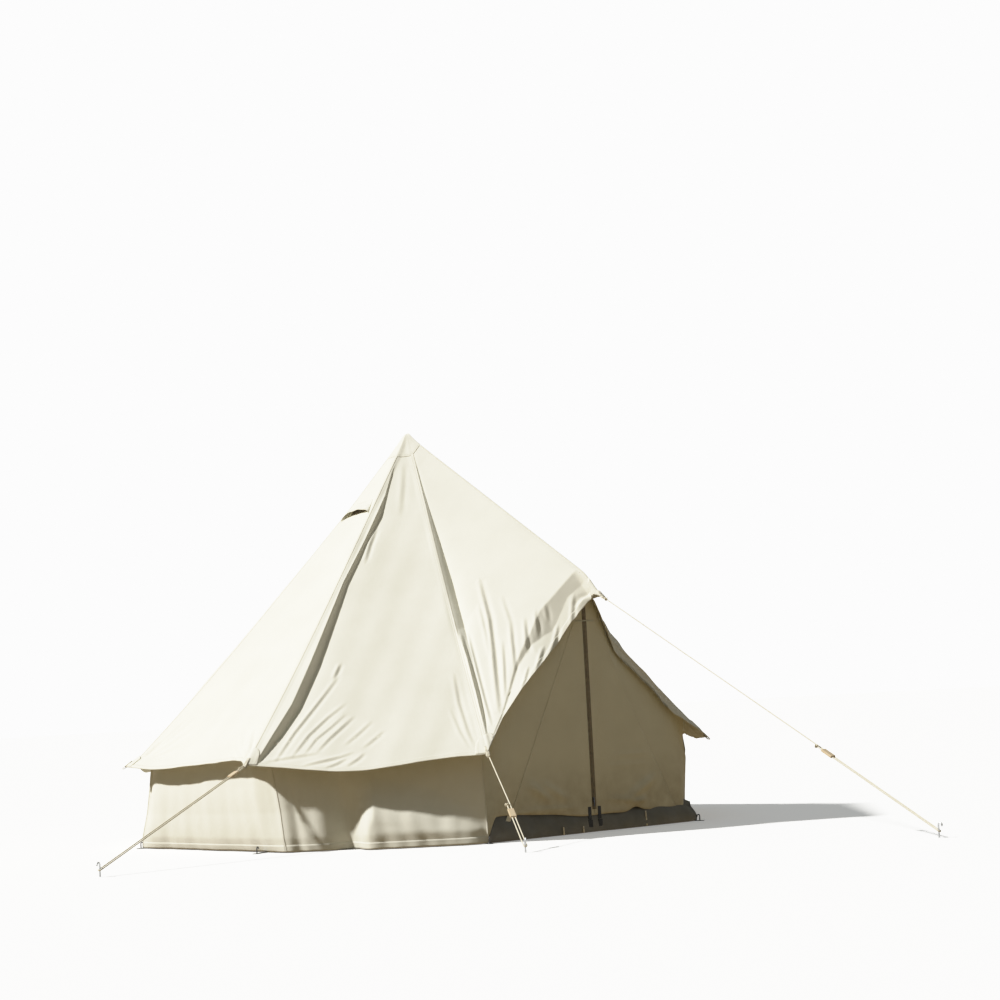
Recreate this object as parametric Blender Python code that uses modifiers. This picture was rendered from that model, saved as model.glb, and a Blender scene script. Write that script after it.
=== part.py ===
"""Bell tent with an A-frame porch door.

The tent stands on Z = 0 with its centre pole on the Z axis and its door towards -Y.
An azimuth is counted round the pole from the door, positive towards +X.
"""

import math

import bmesh
import bpy
from mathutils import Matrix, Vector

# Gaps between touching pieces
TOUCH_GAP = 0.0003
LEAF_GAP = 0.0015
HOOD_GAP = 0.0006

# Roof
APEX_HEIGHT = 2.01
EAVE_RADIUS = 1.50
EAVE_HEIGHT = 0.40
EAVE_OVERHANG = 0.115
DOOR_WIDTH_AT_EAVES = 1.40
EAVE_PANELS = 7
CANVAS = 0.003
APEX_OPENING_RADIUS = 0.045
HIP_SAG = 0.030
HEM_DROOP = 0.027

# Folds beside the hips, as shares of a panel's width and of its length
PANEL_FOLD_DEPTH = 0.022
PANEL_FOLD_PLACE = 0.12
FOLD_START = 0.10
FOLD_START_BELOW_VENT = 0.34
FOLD_RISE = 0.30
FOLD_FADE = 0.45
FOLD_FADE_START = 0.70

# Columns across a panel and rows down it, as shares: close together where it folds
COLUMNS = (0.0, 0.045, 0.12, 0.22, 0.36, 0.50, 0.64, 0.78, 0.88, 0.955, 1.0)
ROOF_ROWS = (0.0, 0.07, 0.15, 0.25, 0.37, 0.50, 0.64, 0.78, 0.90, 1.0)
WALL_ROWS = (0.0, 0.35, 0.70, 1.0)
DOOR_ROWS = (0.0, 0.25, 0.50, 0.75, 1.0)

# Porch roof: the ridge runs straight to the porch poles, then the visor drops
RIDGE_PAST_DOOR = 0.003
RIDGE_END_HEIGHT = 1.22
VISOR_LENGTH = 0.14
VISOR_DROOP = 0.047
PORCH_HEM_RECESS = 0.028

# Apex cap
CAP_RADIUS = 0.115

# Walls: they lean in a little towards the top
WALL_LEAN = 0.025
WALL_BOTTOM = 0.0042
DOOR_CANVAS_EASE = 0.36

# Groundsheet
SHEET_THICKNESS = 0.003
RIM_HEIGHT = 0.13
PEG_TAB_LENGTH = 0.050
PEG_TAB_WIDTH = 0.026
PEG_TAB_LAP = 0.020
PEG_HOLE_OUT = 0.0275

# Centre pole
POLE_RADIUS = 0.016
POLE_JOINT_HEIGHT = 1.02
SPIKE_REACH = 0.080
SPIGOT_RADIUS = 0.0135
SPIGOT_LENGTH = 0.060
SPIGOT_CLEARANCE = 0.0005
SPIKE_RADIUS = 0.005
POLE_FOOT_RADIUS = 0.026
POLE_FOOT_HEIGHT = 0.014

# Porch poles
PORCH_POLE_RADIUS = 0.0095
PORCH_PEAK_DROP = 0.035
PORCH_FOOT_INSET = 0.038
PORCH_FOOT_RADIUS = 0.016
PORCH_FOOT_TOP_RADIUS = 0.0136
PORCH_FOOT_HEIGHT = 0.020
ELBOW_DROP = 0.070
ELBOW_WALL = 0.003

# Door leaves, hung from the edge of the sleeves that the porch poles stand in
SLEEVE_WIDTH = 0.036
LEAF_BOTTOM = 0.100
LEAF_TOP_DROP = 0.200
ZIP_TAPE_WIDTH = 0.013
ZIP_TAPE_THICKNESS = 0.0016
ZIP_END_INSET = 0.006
SLIDER_WIDTH = 0.010
SLIDER_LENGTH = 0.022
SLIDER_THICKNESS = 0.006
SLIDER_ABOVE_HEM = 0.050
SLIDER_EDGE = 0.0012
PULL_WIDTH = 0.008
PULL_LENGTH = 0.036
PULL_THICKNESS = 0.002
PULL_EDGE = 0.0006
PULL_EYE_ABOVE_SLIDER = 0.0066

# Straps that hold the leaves down to the rim
STRAP_OFFSET = 0.031
STRAP_WIDTH = 0.020
STRAP_THICKNESS = 0.002
STRAP_LAP = 0.018
STRAP_LENGTH = 0.092
BUCKLE_WIDTH = 0.026
BUCKLE_LENGTH = 0.034
BUCKLE_THICKNESS = 0.007
BUCKLE_EDGE = 0.0016
BUCKLE_ABOVE_END = 0.0153
RIM_LOOP_BOTTOM = 0.008
RIM_LOOP_TOP = 0.062

# Vent hoods, over an opening in the roof that is closed by insect mesh
VENT_PLACE = 0.255
VENT_HALF_WIDTH = 0.098
VENT_LENGTH = 0.105
VENT_LIFT = 0.060
VENT_TOP_SHARE = 0.55
VENT_ROWS = 6
VENT_COLUMNS = 8
VENT_MESH_THICKNESS = 0.0015
VENT_MESH_HALF_WIDTH = 0.061
VENT_MESH_LENGTH = 0.050
VENT_MESH_INSET = 0.004

# Guys: rope, runner and peg
ROPE_RADIUS = 0.0027
GUY_PEG_RADIUS = 0.004
GUY_PEG_HEIGHT = 0.064
GUY_TURN_HEIGHT = 0.030
RUNNER_LENGTH = 0.062
RUNNER_WIDTH = 0.028
RUNNER_THICKNESS = 0.011
RUNNER_EDGE = 0.002
RUNNER_HOLE_CLEARANCE = 0.0004
ROPE_TAIL = 0.030

# How far out each guy's peg stands, and how far along the rope its runner lies
DOOR_GUY_REACH = 0.61
DOOR_GUY_RUNNER_RUN = 0.470
SIDE_GUY_REACH = 1.02
SIDE_GUY_RUNNER_RUN = 0.095
RIDGE_GUY_REACH = 1.86
RIDGE_GUY_RUNNER_RUN = 1.50

# Ground pegs
GROUND_PEG_RADIUS = 0.003
GROUND_PEG_HEIGHT = 0.034
HOOK_BEND = 2.2
HOOK_TIP = 1.2
HOOK_STEPS = 6

COLLECTION = "Bell_tent"
CUTTERS = "Cutters"
SIDES = (("left", -1), ("right", 1))

# What follows from the driving dimensions
WALL_TOP_RADIUS = EAVE_RADIUS - EAVE_OVERHANG
FLOOR_RADIUS = WALL_TOP_RADIUS + WALL_LEAN
DOOR_CORNER = math.asin(0.5 * DOOR_WIDTH_AT_EAVES / EAVE_RADIUS)
DOOR_PLANE = FLOOR_RADIUS * math.cos(DOOR_CORNER)
PANEL_ANGLE = (2 * math.pi - 2 * DOOR_CORNER) / EAVE_PANELS
ROOF_FALL = APEX_HEIGHT - EAVE_HEIGHT
ROOF_SLOPE = ROOF_FALL / (EAVE_RADIUS * math.cos(PANEL_ANGLE / 2))
ROOF_VERTICAL = CANVAS * math.sqrt(1 + ROOF_SLOPE ** 2)
APEX = Vector((0, 0, APEX_HEIGHT))
RIDGE_END_RADIUS = DOOR_PLANE + RIDGE_PAST_DOOR
VISOR_RADIUS = RIDGE_END_RADIUS + VISOR_LENGTH
RIDGE_SLOPE = (APEX_HEIGHT - RIDGE_END_HEIGHT) / RIDGE_END_RADIUS
RIDGE_LINE_END = Vector((0, -VISOR_RADIUS, APEX_HEIGHT - RIDGE_SLOPE * VISOR_RADIUS))
WALL_SHARE = WALL_TOP_RADIUS / EAVE_RADIUS
WALL_TOP_HEIGHT = APEX_HEIGHT - ROOF_FALL * WALL_SHARE
POLE_TOP_HEIGHT = APEX_HEIGHT - SPIKE_REACH
PORCH_PEAK_HEIGHT = RIDGE_END_HEIGHT - PORCH_PEAK_DROP
PORCH_FOOT_HALF_SPREAD = FLOOR_RADIUS * math.sin(DOOR_CORNER) - PORCH_FOOT_INSET
LEAF_TOP = PORCH_PEAK_HEIGHT - LEAF_TOP_DROP
SLIDER_HEIGHT = LEAF_BOTTOM + SLIDER_ABOVE_HEM
STRAP_TOP = LEAF_BOTTOM + STRAP_LAP
STRAP_BOTTOM = STRAP_TOP - STRAP_LENGTH
ROPE_TURN = GUY_PEG_RADIUS + ROPE_RADIUS + TOUCH_GAP


# Small helpers

def clear_scene():
    """Remove whatever the scene holds."""
    for item in list(bpy.data.objects):
        bpy.data.objects.remove(item, do_unlink=True)


def new_collection(name):
    group = bpy.data.collections.new(name)
    bpy.context.scene.collection.children.link(group)
    return group


def make_material(name, colour, roughness, metallic=0.0):
    material = bpy.data.materials.new(name)
    material.use_nodes = True
    shader = material.node_tree.nodes["Principled BSDF"]
    shader.inputs["Base Color"].default_value = (*colour, 1)
    shader.inputs["Roughness"].default_value = roughness
    shader.inputs["Metallic"].default_value = metallic
    return material


def add_mesh(name, mesh_data, look, origin=(0, 0, 0), flat=True):
    """Turn a bmesh in world coordinates into an object whose origin is given."""
    bmesh.ops.recalc_face_normals(mesh_data, faces=mesh_data.faces)
    bmesh.ops.translate(mesh_data, verts=mesh_data.verts, vec=-Vector(origin))
    mesh = bpy.data.meshes.new(name)
    mesh_data.to_mesh(mesh)
    mesh_data.free()
    if not flat:
        mesh.shade_smooth()
        mesh.set_sharp_from_angle(angle=math.radians(40))
    item = bpy.data.objects.new(name, mesh)
    item.location = origin
    mesh.materials.append(MATERIALS[look])
    PARTS.objects.link(item)
    return item


def around(radius, azimuth, height):
    """Point at a distance from the pole's axis, at an azimuth counted from the door."""
    return Vector((radius * math.sin(azimuth), -radius * math.cos(azimuth), height))


def smooth_step(value):
    value = min(1.0, max(0.0, value))
    return value * value * (3 - 2 * value)


def closed_shell(name, outer, inner, look):
    """Close two grids of the same rows and columns into one shell."""
    data = bmesh.new()
    rows, columns = len(outer), len(outer[0])
    grids = [[[data.verts.new(point) for point in row] for row in grid] for grid in (outer, inner)]
    top, bottom = grids
    for row in range(rows - 1):
        for column in range(columns - 1):
            corners = [(row, column), (row, column + 1), (row + 1, column + 1), (row + 1, column)]
            data.faces.new([top[r][c] for r, c in corners])
            data.faces.new([bottom[r][c] for r, c in reversed(corners)])
    loop = [(0, c) for c in range(columns)]
    loop += [(r, columns - 1) for r in range(1, rows)]
    loop += [(rows - 1, c) for c in range(columns - 2, -1, -1)]
    loop += [(r, 0) for r in range(rows - 2, 0, -1)]
    for here, there in zip(loop, loop[1:] + loop[:1]):
        data.faces.new([top[here[0]][here[1]], bottom[here[0]][here[1]],
                        bottom[there[0]][there[1]], top[there[0]][there[1]]])
    return add_mesh(name, data, look)


def box(name, size, centre, look, turn=None, bevel=0.0, origin=None):
    """Box of a full size round a centre, turned, with rounded edges."""
    data = bmesh.new()
    bmesh.ops.create_cube(data, size=1)
    bmesh.ops.scale(data, verts=data.verts, vec=Vector(size))
    if bevel:
        bmesh.ops.bevel(data, geom=data.edges[:], offset=bevel, segments=2, affect="EDGES")
    matrix = Matrix.Translation(Vector(centre)) @ (turn.to_4x4() if turn else Matrix())
    bmesh.ops.transform(data, matrix=matrix, verts=data.verts)
    return add_mesh(name, data, look, origin if origin else centre)


def turned(name, profile, look, segments=20):
    """Solid of revolution about the pole's axis; the profile runs from top to bottom."""
    data = bmesh.new()
    verts = [data.verts.new((radius, 0, height)) for radius, height in profile]
    for here, there in zip(verts, verts[1:]):
        data.edges.new((here, there))
    mesh = bpy.data.meshes.new(name)
    data.to_mesh(mesh)
    data.free()
    mesh.materials.append(MATERIALS[look])
    item = bpy.data.objects.new(name, mesh)
    PARTS.objects.link(item)
    screw = item.modifiers.new("Turn", "SCREW")
    screw.steps = segments
    screw.render_steps = segments
    screw.use_merge_vertices = True
    screw.merge_threshold = 0.0001
    screw.use_smooth_shade = True
    return item


def tube(name, points, radius, look, resolution=2, origin=(0, 0, 0)):
    """Round bar or cord along points, with closed ends."""
    curve = bpy.data.curves.new(name, "CURVE")
    curve.dimensions = "3D"
    curve.bevel_depth = radius
    curve.bevel_resolution = resolution
    curve.use_fill_caps = True
    spline = curve.splines.new("POLY")
    spline.points.add(len(points) - 1)
    for slot, point in zip(spline.points, points):
        slot.co = (*(Vector(point) - Vector(origin)), 1)
    curve.materials.append(MATERIALS[look])
    item = bpy.data.objects.new(name, curve)
    item.location = origin
    PARTS.objects.link(item)
    return item


def hole_cutter(name, radius, length, matrix, segments=16):
    """Round cutter along its own Z axis, placed by a matrix."""
    data = bmesh.new()
    bmesh.ops.create_cone(data, cap_ends=True, segments=segments, radius1=radius,
                          radius2=radius, depth=length)
    mesh = bpy.data.meshes.new(name)
    data.to_mesh(mesh)
    data.free()
    item = bpy.data.objects.new(name, mesh)
    item.matrix_world = matrix
    item.hide_render = True
    item.display_type = "WIRE"
    CUTTER_GROUP.objects.link(item)
    return item


def boolean(item, other, operation):
    step = item.modifiers.new(operation.title(), "BOOLEAN")
    step.object = other
    step.operation = operation
    step.solver = "EXACT"
    return step


# Roof surface

def hip_sag(share):
    """Sag of a hip below the straight line, nothing at the apex and at the eave."""
    return HIP_SAG * math.sin(math.pi * min(1.0, max(0.0, share)) ** 1.5)


def fold(distance, share, start):
    """Drop beside a hip: steep next to it, easing out towards the panel's middle."""
    reach = distance / PANEL_FOLD_PLACE
    risen = smooth_step((share - start) / FOLD_RISE)
    faded = FOLD_FADE * smooth_step((share - FOLD_FADE_START) / (1 - FOLD_FADE_START))
    return PANEL_FOLD_DEPTH * reach * math.exp(1 - reach) * risen * (1 - faded)


class RoofPanel:
    """One roof panel between two edge lines that start at the apex."""

    def __init__(self, name, first, last, start=FOLD_START, ridge_at_last=False):
        self.name = name
        self.first = first
        self.last = last
        self.start = start
        self.ridge = ridge_at_last

    def end(self, across):
        """Where the straight line at this share of the width meets the eave."""
        return self.first.lerp(self.last, across)

    def hem_share(self, across):
        """Share of the straight line at which the hem lies."""
        arch = 4 * across * (1 - across)
        if self.ridge:
            return 1 - PORCH_HEM_RECESS * arch
        return 1 + HEM_DROOP * arch

    def wall_share(self, across):
        """Share of the straight line that lies over the wall or over the door."""
        if not self.ridge:
            return WALL_SHARE
        return door_line(across) / -self.end(across).y

    def point(self, across, share):
        """Outer face of the canvas."""
        place = APEX.lerp(self.end(across), share)
        if self.ridge:
            place.z -= hip_sag(share) * (1 - across) + fold(across, share, self.start)
            past = (share * VISOR_RADIUS - RIDGE_END_RADIUS) / (VISOR_RADIUS - RIDGE_END_RADIUS)
            place.z -= VISOR_DROOP * smooth_step(past) * across ** 3
        else:
            place.z -= hip_sag(share)
            place.z -= fold(min(across, 1 - across), share, self.start)
        return place

    def shares(self, across):
        """Rows of the panel from the apex opening to the hem."""
        top = APEX_OPENING_RADIUS / EAVE_RADIUS
        wall = self.wall_share(across)
        hem = self.hem_share(across)
        upper = [top + (wall - top) * step for step in ROOF_ROWS]
        return upper + [(wall + hem) / 2, hem]

    def build(self):
        outer = []
        for across in COLUMNS:
            line = [self.point(across, share) for share in self.shares(across)]
            outer.append([nudge_from_edge(point, self, across) for point in line])
        inner = [[point - Vector((0, 0, ROOF_VERTICAL)) for point in line] for line in outer]
        return closed_shell(self.name, outer, inner, "canvas")


def nudge_from_edge(point, panel, across):
    """Keep half the touching gap between a panel's edge and the plane of its hip."""
    if across not in (0.0, 1.0):
        return point
    edge = panel.first if across == 0.0 else panel.last
    other = panel.last if across == 0.0 else panel.first
    normal = Vector((0, 0, 1)).cross(Vector((edge.x, edge.y, 0))).normalized()
    if normal.dot(other) < 0:
        normal.negate()
    return point + normal * TOUCH_GAP / 2


def corner_azimuths():
    """The eight corners, from the door's right corner round the back to its left one."""
    return [DOOR_CORNER + PANEL_ANGLE * index for index in range(EAVE_PANELS + 1)]


WALL_NAMES = ("front_right", "right", "back_right", "back", "back_left", "left", "front_left")


def roof_panels():
    """The seven eave panels."""
    corners = [around(EAVE_RADIUS, angle, EAVE_HEIGHT) for angle in corner_azimuths()]
    panels = []
    for name, first, last in zip(WALL_NAMES, corners, corners[1:]):
        start = FOLD_START_BELOW_VENT if name in ("left", "right") else FOLD_START
        panels.append(RoofPanel("roof_" + name, first, last, start))
    return panels


def porch_panel(side):
    """Porch roof panel between the door's corner and the ridge."""
    name, sign = side
    corner = around(EAVE_RADIUS, sign * DOOR_CORNER, EAVE_HEIGHT)
    return RoofPanel("porch_roof_" + name, corner, RIDGE_LINE_END, FOLD_START, True)


def door_line(across):
    """Distance from the pole, along -Y, of the canvas that closes the porch."""
    at_wall = WALL_TOP_RADIUS * math.cos(DOOR_CORNER)
    return at_wall + (DOOR_PLANE - at_wall) * smooth_step(across / DOOR_CANVAS_EASE)


def make_apex_cap():
    """Cone that covers the panels' upper ends, one facet to each panel."""
    lines = [around(EAVE_RADIUS, angle, EAVE_HEIGHT) for angle in corner_azimuths()]
    lines.append(RIDGE_LINE_END)
    lift = ROOF_VERTICAL - CANVAS + TOUCH_GAP
    share = CAP_RADIUS / EAVE_RADIUS
    data = bmesh.new()
    shells = []
    for height in (lift, lift + ROOF_VERTICAL):
        raise_by = Vector((0, 0, height))
        ring = [data.verts.new(APEX.lerp(end, share) + raise_by) for end in lines]
        shells.append((ring, data.verts.new(APEX + raise_by)))
    count = len(lines)
    for index in range(count):
        after = (index + 1) % count
        for ring, tip in shells:
            data.faces.new((ring[index], ring[after], tip))
        lower, upper = shells[0][0], shells[1][0]
        data.faces.new((lower[index], lower[after], upper[after], upper[index]))
    return add_mesh("apex_cap", data, "canvas")


# Walls and door sides

def wall_corner(angle, share, inset):
    """Corner of the wall at a share of its height, inset along the radius."""
    radius = FLOOR_RADIUS + (WALL_TOP_RADIUS - FLOOR_RADIUS) * share - inset
    return around(radius, angle, 0)


def make_wall(name, panel, first, last):
    """Upright wall panel from the ground to the underside of the roof."""
    inset = CANVAS / math.cos(PANEL_ANGLE / 2)
    grids = []
    for depth in (0.0, inset):
        grid = []
        for across in COLUMNS:
            top = panel.point(across, panel.wall_share(across)).z - ROOF_VERTICAL - TOUCH_GAP
            line = []
            for share in WALL_ROWS:
                place = wall_corner(first, share, depth).lerp(wall_corner(last, share, depth), across)
                place.z = WALL_BOTTOM + (top - WALL_BOTTOM) * share
                line.append(nudge_from_edge(place, panel, across))
            grid.append(line)
        grids.append(grid)
    return closed_shell("wall_" + name, grids[0], grids[1], "canvas")


def leg_distance(height):
    """Distance of the porch pole's line from the door's middle at a height."""
    return PORCH_FOOT_HALF_SPREAD * (1 - height / PORCH_PEAK_HEIGHT)


def hinge_distance(height):
    """Distance of a leaf's hinge line from the door's middle: a sleeve's width inside the pole's."""
    return leg_distance(height) - SLEEVE_WIDTH * math.hypot(1, PORCH_FOOT_HALF_SPREAD / PORCH_PEAK_HEIGHT)


def hinge_height(distance):
    """Height of a leaf's hinge line at a distance from the door's middle."""
    return PORCH_PEAK_HEIGHT * (hinge_distance(0.0) - distance) / PORCH_FOOT_HALF_SPREAD


def hinge_offset():
    """Half the gap along a leaf's hinge line, measured upright."""
    return LEAF_GAP / 2 * math.hypot(1, PORCH_PEAK_HEIGHT / PORCH_FOOT_HALF_SPREAD)


def door_side_tops(side):
    """Upper edge of a door side, just below the porch roof, from the wall's corner inwards."""
    panel = porch_panel(side)
    tops = []
    for across in COLUMNS:
        place = panel.point(across, panel.wall_share(across))
        place.z -= ROOF_VERTICAL + 2 * TOUCH_GAP
        place.x = max(abs(place.x), TOUCH_GAP / 2)
        tops.append(place)
    corner = hinge_distance(LEAF_TOP + LEAF_GAP - hinge_offset())
    for index, (here, there) in enumerate(zip(tops, tops[1:])):
        if there.x < corner < here.x:
            share = (here.x - corner) / (here.x - there.x)
            tops.insert(index + 1, here.lerp(there, share))
            break
    return tops


def make_door_side(side):
    """Fixed canvas between the porch roof, the wall's corner and the leaf, with the pole's sleeve."""
    name, sign = side
    grids = ([], [])
    for index, top in enumerate(door_side_tops(side)):
        low = min(hinge_height(top.x) + hinge_offset(), LEAF_TOP + LEAF_GAP)
        low = max(low, WALL_BOTTOM)
        outer_line, inner_line = [], []
        for share in DOOR_ROWS:
            height = low + (top.z - low) * share
            up = height / top.z
            x_front = x_back = top.x
            y_front = -DOOR_PLANE + (top.y + DOOR_PLANE) * up
            if index == 0:
                radius = FLOOR_RADIUS + (WALL_TOP_RADIUS - FLOOR_RADIUS) * up
                y_front = -radius * math.cos(DOOR_CORNER)
                x_front = radius * math.sin(DOOR_CORNER) - TOUCH_GAP / 2 / math.cos(DOOR_CORNER)
                x_back = x_front - CANVAS * math.tan(DOOR_CORNER)
            outer_line.append(Vector((sign * x_front, y_front, height)))
            inner_line.append(Vector((sign * x_back, y_front + CANVAS, height)))
        grids[0].append(outer_line)
        grids[1].append(inner_line)
    return closed_shell("door_side_" + name, grids[0], grids[1], "canvas")


# Door leaves and what they carry

def make_leaf(side):
    """Door leaf: hangs from the sleeve's edge and meets its twin at the middle."""
    name, sign = side
    inner_edge = TOUCH_GAP
    grids = ([], [])
    far = hinge_distance(LEAF_BOTTOM + hinge_offset())
    top_width = hinge_distance(LEAF_TOP + hinge_offset())
    for share in DOOR_ROWS:
        height = LEAF_BOTTOM + (LEAF_TOP - LEAF_BOTTOM) * share
        outside = far + (top_width - far) * share
        front_line, back_line = [], []
        for across in DOOR_ROWS:
            x = sign * (inner_edge + (outside - inner_edge) * across)
            front_line.append(Vector((x, -DOOR_PLANE, height)))
            back_line.append(Vector((x, -DOOR_PLANE + CANVAS, height)))
        grids[0].append(front_line)
        grids[1].append(back_line)
    leaf = closed_shell("door_leaf_" + name, grids[0], grids[1], "canvas")
    hinge = Vector((sign * hinge_distance(LEAF_BOTTOM), -DOOR_PLANE, LEAF_BOTTOM))
    move_origin(leaf, hinge)
    return leaf


def move_origin(item, origin):
    """Put an object's origin on its joint's axis without moving its mesh."""
    item.data.transform(Matrix.Translation(-origin))
    item.location = origin


def make_zip(side):
    """Zip tape on the front of a leaf's free edge."""
    name, sign = side
    low = LEAF_BOTTOM + ZIP_END_INSET
    high = LEAF_TOP - ZIP_END_INSET
    centre = (sign * (TOUCH_GAP + ZIP_TAPE_WIDTH / 2),
              -DOOR_PLANE - TOUCH_GAP - ZIP_TAPE_THICKNESS / 2, (low + high) / 2)
    return box("door_zip_" + name, (ZIP_TAPE_WIDTH, ZIP_TAPE_THICKNESS, high - low), centre, "zip_tape")


def make_slider():
    """Slider on the left tape and the pull that hangs from it."""
    back = -DOOR_PLANE - TOUCH_GAP - ZIP_TAPE_THICKNESS - TOUCH_GAP
    middle = -TOUCH_GAP - SLIDER_WIDTH / 2
    centre = (middle, back - SLIDER_THICKNESS / 2, SLIDER_HEIGHT)
    box("zip_slider", (SLIDER_WIDTH, SLIDER_THICKNESS, SLIDER_LENGTH), centre, "steel",
        bevel=SLIDER_EDGE)
    front = back - SLIDER_THICKNESS - TOUCH_GAP
    top = SLIDER_HEIGHT + PULL_EYE_ABOVE_SLIDER
    pull_centre = (middle, front - PULL_THICKNESS / 2, top - PULL_LENGTH / 2)
    box("zip_pull", (PULL_WIDTH, PULL_THICKNESS, PULL_LENGTH), pull_centre, "steel",
        bevel=PULL_EDGE, origin=(middle, front - PULL_THICKNESS / 2, top))


def make_strap(side):
    """Webbing strap with its buckle, sewn to the front of a leaf above its hem."""
    name, sign = side
    x = sign * STRAP_OFFSET
    back = -DOOR_PLANE - TOUCH_GAP
    hinge = Vector((x, back - STRAP_THICKNESS / 2, STRAP_TOP))
    item = box("door_strap_" + name, (STRAP_WIDTH, STRAP_THICKNESS, STRAP_TOP - STRAP_BOTTOM),
               (x, back - STRAP_THICKNESS / 2, (STRAP_TOP + STRAP_BOTTOM) / 2), "webbing", origin=hinge)
    buckle = bpy.data.objects.new("buckle_body_" + name, bpy.data.meshes.new("buckle_body_" + name))
    data = bmesh.new()
    bmesh.ops.create_cube(data, size=1)
    bmesh.ops.scale(data, verts=data.verts, vec=(BUCKLE_WIDTH, BUCKLE_THICKNESS, BUCKLE_LENGTH))
    bmesh.ops.bevel(data, geom=data.edges[:], offset=BUCKLE_EDGE, segments=1, affect="EDGES")
    data.to_mesh(buckle.data)
    data.free()
    buckle.location = (x, back - BUCKLE_THICKNESS / 2, STRAP_BOTTOM + BUCKLE_ABOVE_END)
    buckle.hide_render = True
    buckle.display_type = "WIRE"
    CUTTER_GROUP.objects.link(buckle)
    boolean(item, buckle, "UNION")


def make_rim_loop(side):
    """Webbing loop on the rim that a strap's buckle clips to."""
    name, sign = side
    front = -DOOR_PLANE
    back = -rim_corner_radius(0.0) * math.cos(DOOR_CORNER) - TOUCH_GAP
    size = (STRAP_WIDTH, back - front, RIM_LOOP_TOP - RIM_LOOP_BOTTOM)
    centre = (sign * STRAP_OFFSET, (front + back) / 2, (RIM_LOOP_TOP + RIM_LOOP_BOTTOM) / 2)
    box("rim_loop_" + name, size, centre, "webbing")


# Groundsheet and ground pegs

def rim_corner_radius(height):
    """Outer corner of the rim, just inside the canvas."""
    lean = (WALL_TOP_RADIUS - FLOOR_RADIUS) * height / WALL_TOP_HEIGHT
    return FLOOR_RADIUS + lean - CANVAS / math.cos(DOOR_CORNER) - 2 * TOUCH_GAP


def make_groundsheet():
    """Eight-sided tray with a peg tab at each corner."""
    angles = corner_azimuths()
    inset = SHEET_THICKNESS / math.cos(DOOR_CORNER)
    rings = ((rim_corner_radius(0.0), 0.0), (rim_corner_radius(RIM_HEIGHT), RIM_HEIGHT),
             (rim_corner_radius(RIM_HEIGHT) - inset, RIM_HEIGHT),
             (rim_corner_radius(0.0) - inset, SHEET_THICKNESS))
    data = bmesh.new()
    loops = [[data.verts.new(around(radius, angle, height)) for angle in angles]
             for radius, height in rings]
    data.faces.new(loops[0])
    data.faces.new(loops[-1])
    for lower, upper in zip(loops, loops[1:]):
        for index in range(len(angles)):
            after = (index + 1) % len(angles)
            data.faces.new((lower[index], lower[after], upper[after], upper[index]))
    sheet = add_mesh("groundsheet", data, "groundsheet")
    for index, angle in enumerate(angles):
        boolean(sheet, peg_tab(index, angle), "UNION")
    for index, angle in enumerate(angles):
        place = Matrix.Translation(around(peg_distance(), angle, 0))
        hole = hole_cutter("tab_hole_%d" % index, GROUND_PEG_RADIUS + TOUCH_GAP,
                           4 * SHEET_THICKNESS, place, 12)
        boolean(sheet, hole, "DIFFERENCE")
    return sheet


def peg_distance():
    """Distance of a ground peg from the centre pole."""
    return FLOOR_RADIUS + PEG_HOLE_OUT


def peg_tab(index, angle):
    """Tab that runs out under the wall at a corner, with its peg hole outside the wall."""
    start = rim_corner_radius(0.0) - PEG_TAB_LAP
    end = FLOOR_RADIUS + PEG_TAB_LENGTH
    data = bmesh.new()
    bmesh.ops.create_cube(data, size=1)
    bmesh.ops.scale(data, verts=data.verts, vec=(PEG_TAB_WIDTH, end - start, SHEET_THICKNESS))
    mesh = bpy.data.meshes.new("peg_tab_%d" % index)
    data.to_mesh(mesh)
    data.free()
    item = bpy.data.objects.new(mesh.name, mesh)
    item.matrix_world = (Matrix.Translation(around((start + end) / 2, angle, SHEET_THICKNESS / 2))
                         @ Matrix.Rotation(angle, 4, "Z"))
    item.hide_render = True
    item.display_type = "WIRE"
    CUTTER_GROUP.objects.link(item)
    return item


def hooked_peg(name, foot, outward, radius, height):
    """Peg above the ground: an upright shaft whose top hooks over."""
    bend = radius * HOOK_BEND
    points = [foot, foot + Vector((0, 0, height - bend - radius))]
    for step in range(1, HOOK_STEPS + 1):
        turn = math.pi * step / HOOK_STEPS
        offset = outward * bend * (1 - math.cos(turn))
        points.append(foot + offset + Vector((0, 0, height - bend - radius + bend * math.sin(turn))))
    points.append(points[-1] - Vector((0, 0, radius * HOOK_TIP)))
    return tube(name, points, radius, "steel")


def make_ground_pegs():
    names = ["door_right", "front_right", "right", "back_right", "back_left", "left", "front_left",
             "door_left"]
    for name, angle in zip(names, corner_azimuths()):
        hooked_peg("ground_peg_" + name, around(peg_distance(), angle, 0),
                   around(-1, angle, 0), GROUND_PEG_RADIUS, GROUND_PEG_HEIGHT)


# Poles

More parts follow.
